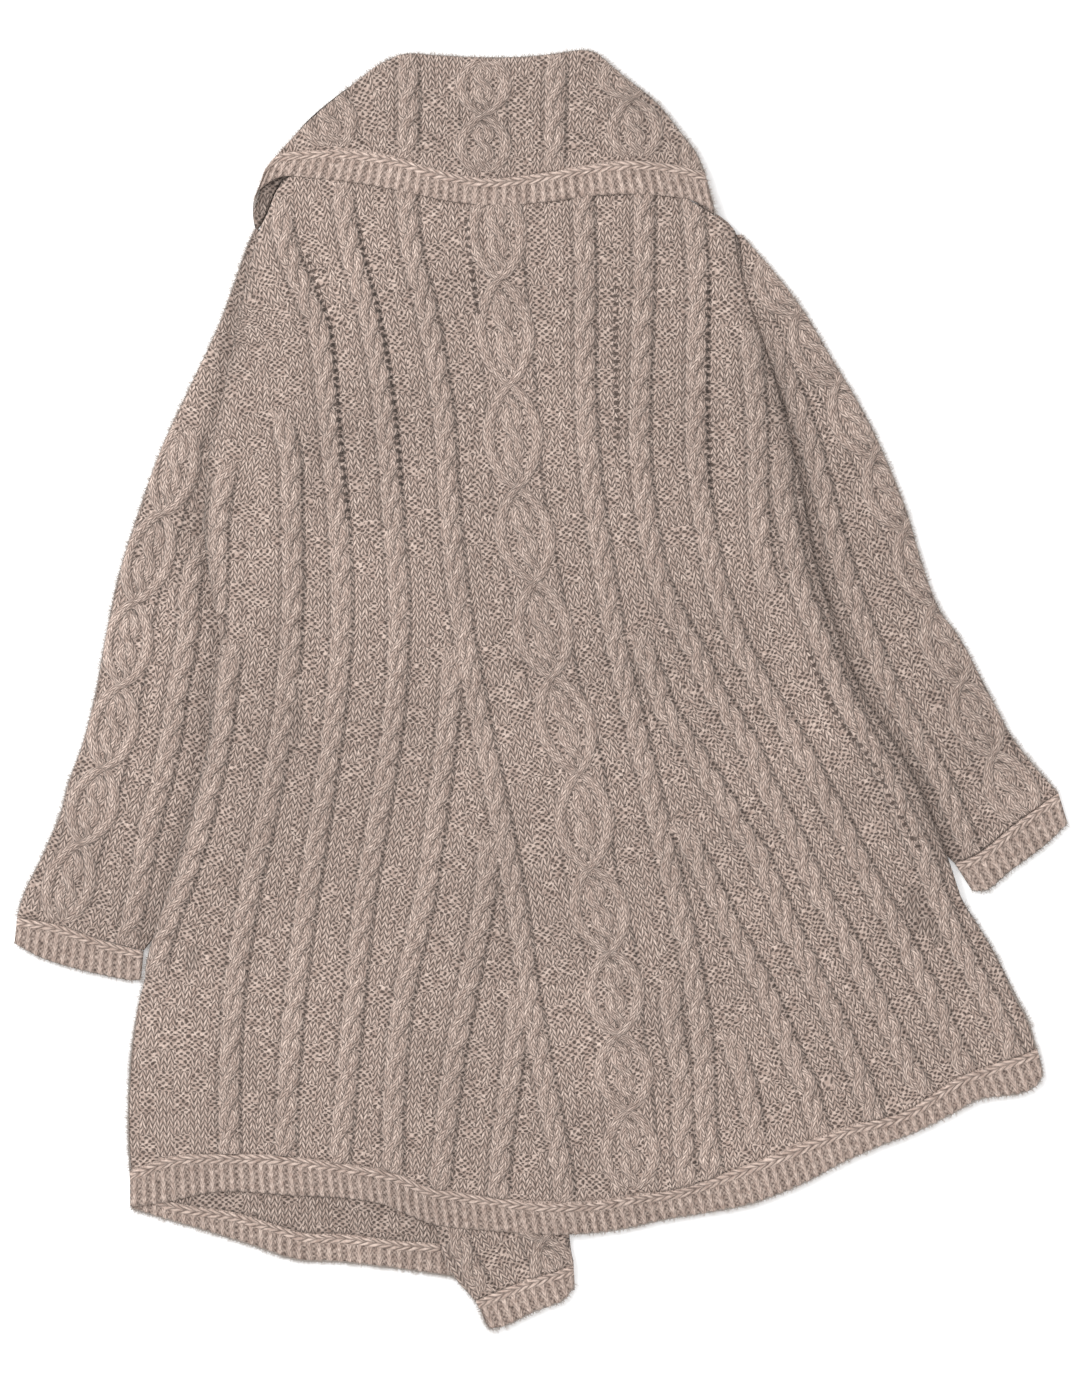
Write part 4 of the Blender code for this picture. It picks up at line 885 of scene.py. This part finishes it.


def ribbedBand(seam, edge, band, rows):
    # plan, height and stitches of a band: ribs across it, and a plaited chain along its seam
    low = smoothLine(edge)
    cols = max(3, round(lineLength(low) / ribWide)) * perRib
    a, b = evenLine(smoothLine(seam), cols), evenLine(low, cols)
    a = a + (b - a) / np.linalg.norm(b - a, axis=1, keepdims=True) * band["gap"]
    v = np.linspace(0, 1, rows + 1)[:, None, None]
    plan = a[None] * (1 - v) + b[None] * v
    down = np.linalg.norm(b - a, axis=1)[None] * v[:, :, 0]
    along = runAlong(a)[None] + 0 * down
    number = np.arange(cols + 1)[None] / perRib + 0 * down
    ribShape = np.clip(np.cos(2 * math.pi * (number - 0.5)) + 0.25, 0, 1.25) ** 0.6
    across = (down - band["chainAt"]) / band["chainHalf"]
    chain = chainTall * np.sqrt(np.clip(1 - across ** 2, 0, 1))
    height = np.maximum(ribShape * smoothStep((down - band["ribsFrom"]) / ribEdge), chain)
    height = height + band["bank"] * smoothStep((band["chainAt"] - down) / ribEdge)
    quads = gridQuads(rows, cols)

    def flat(grid):
        return grid.reshape(-1)[quads].reshape(-1)

    onChain = np.repeat((chain > 0.4).reshape(-1)[quads].mean(1) > 0.5, 4)
    chainU = (flat(down) - band["chainAt"]) / (2 * band["chainHalf"]) + 0.5
    chainV = flat(along) / chainStitch + np.abs(flat(down) - 4.6) * 0.05
    u, w = np.where(onChain, chainU, flat(number) * 2 + 0.5), np.where(onChain, chainV, flat(down) / rowTall)
    shade = bandShade["top"] - bandShade["down"] * (1 - np.clip(height, 0, 1.0)) ** 2
    cloth = np.stack([onChain.astype(float), flat(shade), np.zeros(u.size), np.ones(u.size)], axis=1)
    return plan, height, down, ([np.stack([u, w], axis=1)], cloth)


def clothWelt(name, seam, edge, under, wall, spec):
    lapped = [(x + spec.get("aside", 0), y + seamLap) for x, y in seam]
    plan, height, _, stitches = ribbedBand(lapped, edge, weltBand, spec.get("rows", weltBand["rows"]))
    x, y = xyOf(plan)
    top = under(x, y) + wall + height * spec.get("relief", 1.0) + 0.35 * sway(x, y, 38, 2.0)
    top[0] -= 0.8  # tucked under the panel
    clothPanel(name, plan, top, under, stitches, ribWool, spec)


print("back welt")
clothWelt("backWeltKnit", backSeam, backEdge, underBack, 1.5, {
    "node": ["back_welt"], "flat": (0.80, 0.030), "on": ["left_front_welt", "left_front_flap"],
    "roll": (4, 4, 0, 3), "drop": (1.0, 1.0, 0, 1.2)})

print("collar")
collarCables = cablesOf(collarRopes, collarWide, 18.0)
topFold = collarFold[5:13]
leftFold, rightFold = collarFold[5:1:-1] + [(-221, 415)], collarFold[12:17] + [(131, 413)]
plan = coonsGrid(leftFold, rightFold, topFold, collarSeam, 70, 220)
x, y = xyOf(plan)
top = underCollar(x, y) + wallThick + knitHeight(collarCables, x, y) + 0.5 * sway(x, y, 40, 1.0)
# the collar painted 3.5% darker all over, as broad shade
stitches = cableStitches(plan, collarCables, 0.965 + 0 * x)
clothPanel("collarFallKnit", plan, top, underCollar, stitches, rightSideWool, {
    "node": ["collar_fall"], "flat": (0.36, 0.10), "area": 0.027, "on": ["back_panel", "collar_stand"],
    "roll": (9, 9, 9, 0), "drop": (4.2, 4.2, 4.2, 0)})
clothWelt("collarWeltKnit", collarSeam, collarEdge, underCollar, 1.5, {
    "node": ["collar_welt"], "flat": (0.39, 0.024), "on": ["back_panel"],
    "roll": (7, 5, 0, 3), "drop": (1.6, 1.6, 0, 1.2)})


def plainSheet(name, lines, under, grid, spec, cables=None):
    # a sheet wrong side up between its left, right, upper and lower lines
    plan = coonsGrid(*lines, *grid)
    x, y = xyOf(plan)
    cables = cables or [Cable([(float(x.mean()), float(y.max())), (float(x.mean()) + 1, float(y.min()))])]
    relief = knitHeight(cables, x, y) * spec.get("relief", 0.0)
    if "corner" in spec:
        thin, press = smoothStep((cornerAt - x) / pressed), 0.55
    else:
        thin, press = thinning(x, y), 0.72
    top = under(x, y) + (wallThick + relief) * (1 - press * thin)
    # painted shadow in the collar's inner corner: darker by the corner share where the layers are pressed
    dim = spec.get("shade", 1.0) - spec.get("corner", 0.0) * thin
    spec["slot"] = "wool_knit_inside"
    clothPanel(name, plan, top, under, cableStitches(plan, cables, dim), wrongSideWool, spec)


print("fronts and flap")
frontLines = [leftSide[:-1] + [(-329, -396)], leftFrontInner, [(-226, 366), (-196, 389), (-160, 409)],
              leftFrontSeam]
plainSheet("leftFrontKnit", frontLines, ground, (240, 110), {
    "node": ["left_front"], "flat": (0.36, 0.87), "area": 0.21, "on": ["left_sleeve"], "relief": -0.3,
    "roll": (4, 4, 2, 2), "drop": (1.0, 1.0, 0.5, 0.5), "shade": 1.07}, cablesOf(backRopes))
clothWelt("leftFrontWeltKnit", leftFrontSeam, leftFrontEdge, ground, 1.2, {
    "node": ["left_front_welt"], "flat": (0.37, 0.022), "on": ["left_front"], "slot": "wool_knit_inside",
    "relief": 0.62, "roll": (3, 3, 0, 3), "drop": (1, 1, 0, 1.0)})
flapCables = cablesOf(flapRopes, [flapWide], 17.0)
plan = coonsGrid(flapFront, flapFold, [(-12, -16), (-5, -12)], flapSeam, 190, 44)
x, y = xyOf(plan)
shown = smoothStep((-424 - y) / 8)
top = underFlap(x, y) + wallThick + knitHeight(flapCables, x, y) * shown
band = np.linalg.norm(plan - plan[:, :1], axis=-1)
top = top + 0.9 * np.exp(-((band - 4.5) / 2.2) ** 2) * shown
clothPanel("flapKnit", plan, top, underFlap, cableStitches(plan, flapCables), rightSideWool, {
    "node": ["left_front_flap"], "flat": (0.13, 0.48), "area": 0.041, "on": ["left_front"],
    "roll": (3, 5, 0, 0), "drop": (1.2, 2.0, 0, 0)})
clothWelt("flapWeltKnit", flapSeam, flapEdge, underFlap, 1.4, {
    "node": ["flap_welt"], "flat": (0.085, 0.024), "on": ["left_front_welt"], "relief": 0.9,
    "roll": (3, 4, 0, 3), "drop": (1, 1.6, 0, 1.1)})
frontLines = [rightFrontInner, [(110, 396)] + rightSide[:13] + [(388, -260)], [(110, 396), (110.5, 396)],
              rightFrontSeam]
plainSheet("rightFrontKnit", frontLines, ground, (80, 40), {
    "node": ["right_front"], "flat": (0.35, 0.77), "area": 0.16, "on": ["right_sleeve"],
    "roll": (3, 3, 0, 2), "drop": (0.8, 0.8, 0, 0.5)})
clothWelt("rightFrontWeltKnit", rightFrontSeam, rightFrontEdge, ground, 1.2, {
    "node": ["right_front_welt"], "flat": (0.38, 0.024), "on": ["right_front"], "slot": "wool_knit_inside",
    "relief": 0.5, "rows": 10, "aside": 0.1, "roll": (3, 3, 0, 3), "drop": (0.8, 0.8, 0, 0.8)})

print("collar stand")


def underStand(x, y):
    return ground(x, y) + layer * (1 - 0.55 * smoothStep((cornerAt - x) / pressed))


neckLine = [(x, y + 0.3) for x, y in shoulderTop]
cornerLine = [(x - 0.3, y + 0.1) for x, y in reversed(shoulderEdge)]
standFoot = [(-228.6, 368.6), (-226.4, 367.6)] + cornerLine + neckLine[1:-1] + [(139, 378)]
standLeft = collarFold[5:0:-1] + [(-229.5, 393), (-230.5, 379), (-228.6, 368.6)]
standRight = collarFold[12:18] + [(140, 379)]
plainSheet("collarStandKnit", [standLeft, standRight, topFold, standFoot], underStand, (36, 150), {
    "node": ["collar_stand"], "flat": (0.37, 0.144), "area": 0.027,
    "on": ["left_collar_front", "right_collar_front"], "corner": 0.36,
    "roll": (4, 4, 4, 2), "drop": (0.9, 1.5, 1.5, 0.5)})
endLines = [standLeft, [(-72, 507), (-71, 470), (-70, 426)], collarFold[5:8] + [(-72, 507)],
            [(-228.6, 368.6), (-196, 389.3), (-160, 409.3), (-110, 423.3), (-70, 426)]]
plainSheet("leftCollarFrontKnit", endLines, ground, (30, 40), {
    "node": ["left_collar_front"], "flat": (0.16, 0.14), "area": 0.0115, "on": ["collar_stand"],
    "corner": 0.2, "roll": (4, 2, 4, 2), "drop": (0.4, 0.5, 0.8, 0.5)})
endLines = [[(-20, 506), (-21, 470), (-22, 427)], standRight, collarFold[9:13],
            [(-22, 427), (20, 423.3), (67, 413.3), (110, 396.3), (139, 378)]]
plainSheet("rightCollarFrontKnit", endLines, ground, (30, 40), {
    "node": ["right_collar_front"], "flat": (0.16, 0.13), "area": 0.0110, "on": ["collar_stand"],
    "corner": 0.2, "roll": (2, 4, 4, 2), "drop": (0.5, 0.8, 0.8, 0.5)})


def zipLoops(outer, inner, points):  # triangles between two loops of different counts
    def fractions(loop):
        runs = runAlong(points[loop + [loop[0]]])
        return runs / runs[-1]

    a, b = fractions(outer), fractions(inner)
    i = j = 0
    faces = []
    while i < len(outer) or j < len(inner):
        if j >= len(inner) or (i < len(outer) and a[i + 1] <= b[j + 1]):
            faces.append((outer[i], outer[(i + 1) % len(outer)], inner[j % len(inner)]))
            i += 1
        else:
            faces.append((outer[i % len(outer)], inner[(j + 1) % len(inner)], inner[j]))
            j += 1
    return faces


tube = {"middle": 2.4, "crease": 8.0, "inset": 2.2, "every": 12}
tubeUnder = [(0.965, 0.9), (0.92, 0.12), (0.5, 0.1), (0.08, 0.12), (0.035, 0.9)]  # share across, height
hollowLoop = [  # insets and share across, height
    (1, 0, 2.3), (2, 0, 2.9), (0, 0.5, 3.1), (-2, 1, 2.9), (-1, 1, 2.3), (-2, 1, 1.6),
    (0, 0.5, 1.5), (2, 0, 1.6),
]


def clothTube(name, plan, relief, stitches, material, spec):
    # a flattened tube: fine upper layer, plain lower layer on the table, a thin hollow, open ends
    rows, cols = plan.shape[0] - 1, plan.shape[1] - 1
    middle, crown = tube["middle"], sleeveTop + relief
    for distance in edgeDistances(plan)[:2]:
        t = np.clip(1 - distance / tube["crease"], 0, 1)
        crown = middle + (crown - middle) * np.sqrt(np.clip(1 - t * t, 0, 1))
    upper = np.concatenate([plan, crown[:, :, None]], axis=2)
    lower = []
    for share, lift in tubeUnder:
        at = plan[:, 0] * (1 - share) + plan[:, -1] * share
        lower.append(np.concatenate([at, np.full((rows + 1, 1), lift)], axis=1))
    around, inner = cols + 1 + len(lower), len(hollowLoop)
    quads = gridQuads(rows, cols, around)
    others = []
    for r in range(rows):
        for c in range(cols, around):
            n = (c + 1) % around
            others.append((r * around + c, (r + 1) * around + c, (r + 1) * around + n, r * around + n))
    start = (rows + 1) * around
    innerRows = list(range(0, rows, tube["every"])) + [rows]
    hollow = []
    for r in innerRows:
        inset = tube["inset"] / np.linalg.norm(plan[r, -1] - plan[r, 0])
        for insets, base, z in hollowLoop:
            share = base + insets * inset
            hollow.append([*(plan[r, 0] * (1 - share) + plan[r, -1] * share), z])
    for k in range(len(innerRows) - 1):
        for c in range(inner):
            a, b = start + k * inner + c, start + k * inner + (c + 1) % inner
            others.append((a, b, b + inner, a + inner))
    grid = np.concatenate([upper, np.stack(lower, axis=1)], axis=1)
    points = np.concatenate([grid.reshape(-1, 3), np.array(hollow)])
    last = start + (len(innerRows) - 1) * inner
    others += zipLoops(list(range(around)), list(range(start, start + inner)), points)
    mouth = zipLoops(list(range(rows * around, start)), list(range(last, last + inner)), points)
    others += [tuple(reversed(f)) for f in mouth]
    uv, cloth = stitches
    finishPiece(name, points, quads, others, uv, cloth, material, spec)


valley = {"deep": 1.6, "wide": 9.0}  # beside the body
sleeveShade = {"left": 0.24, "right": 0.32, "wide": 8.0}  # painted shade beside the body: darker by


def sleeve(side, left, right, seam, cables, spec):
    plan = coonsGrid(left, right, [left[0], right[0]], seam, 230, 96)
    x, y = xyOf(plan)
    relief = knitHeight(cables, x, y) + foldHeight(x, y, sleeveFolds) + 0.8 * sway(x, y, 34, 3.0)
    covered = coveredByBody(x, y, side)
    inward, beside = fromSide(x, y, side)
    beside = beside * shoulderFade(y, side)
    relief = relief - valley["deep"] * (np.exp(-(np.minimum(inward, 0) / valley["wide"]) ** 2) * beside)
    relief = np.where(covered > 0, relief * (1 - covered) - 0.2 * covered, relief)
    # painted shade on the sleeve, in a strip beside the body's side edge
    dim = 1 - sleeveShade[side] * np.exp(-(np.minimum(inward + 2, 0) / sleeveShade["wide"]) ** 2) * beside
    clothTube(side + "SleeveKnit", plan, relief, cableStitches(plan, cables, dim), rightSideWool, spec)


print("sleeves")
leftSleeveCables = cablesOf(leftSleeveRopes, [leftSleeveWide], 16.5)
rightSleeveCables = cablesOf(rightSleeveRopes, [rightSleeveWide], 16.5)
sleeve("left", leftSleeveOuter, leftSleeveInner, leftCuffSeam, leftSleeveCables, {
    "node": ["left_sleeve"], "flat": (0.25, 0.58), "area": 0.120, "on": []})
sleeve("right", rightSleeveInner, rightSleeveOuter, rightCuffSeam, rightSleeveCables, {
    "node": ["right_sleeve"], "flat": (0.25, 0.55), "area": 0.105, "on": []})


def cuff(side, seam, edge, spec):
    plan, height, down, stitches = ribbedBand(seam, edge, cuffBand, cuffBand["rows"])
    covered = coveredByBody(*xyOf(plan), side)
    relief = height * (1 - covered) - 1.0 - 0.2 * covered - edgeRoll(down[-1:] - down, 3.0, 1.0)
    clothTube(side + "CuffKnit", plan, relief, stitches, ribWool, spec)


print("cuffs")
cuff("left", leftCuffSeam, leftCuffEdge, {"node": ["left_cuff"], "flat": (0.212, 0.024), "on": []})
cuff("right", rightCuffSeam, rightCuffEdge, {"node": ["right_cuff"], "flat": (0.21, 0.026), "on": []})

print("loose fibre")
fibre = {"perMm": 5.5, "seed": 11, "length": 5.6, "shortest": 0.4, "thick": 0.19, "tuck": 1.1, "turn": 0.75,
         "rootLow": 0.5, "tipLow": 0.3}


def looseFibre(name, edges):
    # fine hairs that stand off the outline, each a closed spike with its root in the wool
    draw = np.random.default_rng(fibre["seed"])
    points, faces, total = [], [], 0
    for table, height in edges:
        line = smoothLine(table)
        spots = evenLine(line, int(lineLength(line) * fibre["perMm"]))
        run = np.gradient(spots, axis=0)
        run = run / np.linalg.norm(run, axis=1, keepdims=True)
        out = np.stack([run[:, 1], -run[:, 0]], axis=1)
        out = out * np.sign((out * spots).sum(1, keepdims=True))
        count = len(spots)
        turn = draw.normal(0.0, fibre["turn"], count)[:, None]
        way = out * np.cos(turn) + run * np.sin(turn)
        across = np.stack([-way[:, 1], way[:, 0]], axis=1) * fibre["thick"]
        reach = draw.uniform(0.0, 1.0, count) ** 1.5 * fibre["length"] + fibre["tuck"] + fibre["shortest"]
        root = spots + run * draw.uniform(-0.5, 0.5, count)[:, None] - out * fibre["tuck"]
        low = height(spots[:, 0], spots[:, 1]) + draw.uniform(-0.5, 0.9, count)
        low = np.maximum(low, fibre["rootLow"])
        high = np.maximum(low + draw.uniform(-0.5, 0.7, count), fibre["tipLow"])
        tip = root + way * reach[:, None]
        ridge = low + 2 * fibre["thick"]
        for spot, rise in ((root - across, low), (root + across, low), (root, ridge), (tip, high)):
            points.append(np.concatenate([spot, rise[:, None]], axis=1))
        ids = total + np.arange(count)[:, None] + count * np.arange(4)
        faces += [ids[:, [0, 1, 3]], ids[:, [1, 2, 3]], ids[:, [2, 0, 3]], ids[:, [1, 0, 2]]]
        total += 4 * count
    mesh = bpy.data.meshes.new(name)
    mesh.from_pydata((np.concatenate(points) * mm).tolist(), [], np.concatenate(faces).tolist())
    mesh.materials.append(newMaterial("woolFibre", {
        "Base Color": (0.48, 0.43, 0.395, 1.0), "Roughness": 0.9, "Specular IOR Level": 0.12})[0])
    made = addObject(name, mesh)
    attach(made, "root")
    print(name, total // 4, "hairs")


def level(high):  # the same height everywhere
    return lambda x, y: np.full_like(x, high)


looseFibre("outlineFibre", [
    (leftSleeveOuter, level(2.4)), (rightSleeveOuter, level(2.4)),
    (leftCuffEdge, level(2.2)), (rightCuffEdge, level(2.2)),
    (leftSide[12:], level(1.8)), (rightSide[11:] + [(402, -307)], level(1.8)),
    (backEdge[11:], lambda x, y: underBack(x, y) + 0.8), (leftFrontEdge[:-1], level(1.2)),
    (flapFront[-2:] + flapEdge, level(3.2)), (collarFold, lambda x, y: underCollar(x, y) - 0.4)])


print("floor, lights and camera")
studio = {"floor": (0.985, 0.985, 0.985), "glow": 0.2, "half": 6, "below": -0.0004, "world": 0.78,
          "key": 62.0, "fill": 14.0, "away": 5.0, "frameTall": 1.1024}


def areaLight(name, spot, size, watts):
    data = bpy.data.lights.new(name, "AREA")
    data.shape, data.size, data.energy = "DISK", size, watts
    made = addObject(name, data)
    made.location = spot
    made.rotation_euler = (-made.location).to_track_quat("-Z", "Y").to_euler()


floorMesh = bpy.data.meshes.new("floor")
floorMesh.from_pydata([(x * studio["half"], y * studio["half"], studio["below"])
                       for x, y in ((-1, -1), (1, -1), (1, 1), (-1, 1))], [], [(0, 1, 2, 3)])
floorMesh.materials.append(newMaterial("floorPaint", {
    "Base Color": (*studio["floor"], 1), "Roughness": 0.9, "Emission Color": (1, 1, 1, 1),
    "Emission Strength": studio["glow"]})[0])
floor = addObject("floor", floorMesh)
areaLight("keyLight", (-1.9, 1.2, 1.9), 1.3, studio["key"])
areaLight("fillLight", (1.8, -1.4, 2.6), 2.4, studio["fill"])
world = bpy.data.worlds.new("studioAir")
bpy.context.scene.world = world
world.use_nodes = True
sky = world.node_tree.nodes["Background"].inputs
sky[0].default_value, sky[1].default_value = (1, 1, 1, 1), studio["world"]
bpy.context.scene.view_settings.view_transform = "Standard"

camera = bpy.data.cameras.new("camera")
cameraObject = addObject("camera", camera)
cameraObject.location = (-0.0008, 0.0004, studio["away"])
toCloth = studio["away"] - 0.006  # down to half the cloth's height
camera.lens = camera.sensor_width * toCloth / studio["frameTall"]
camera.clip_end = 50
bpy.context.scene.camera = cameraObject
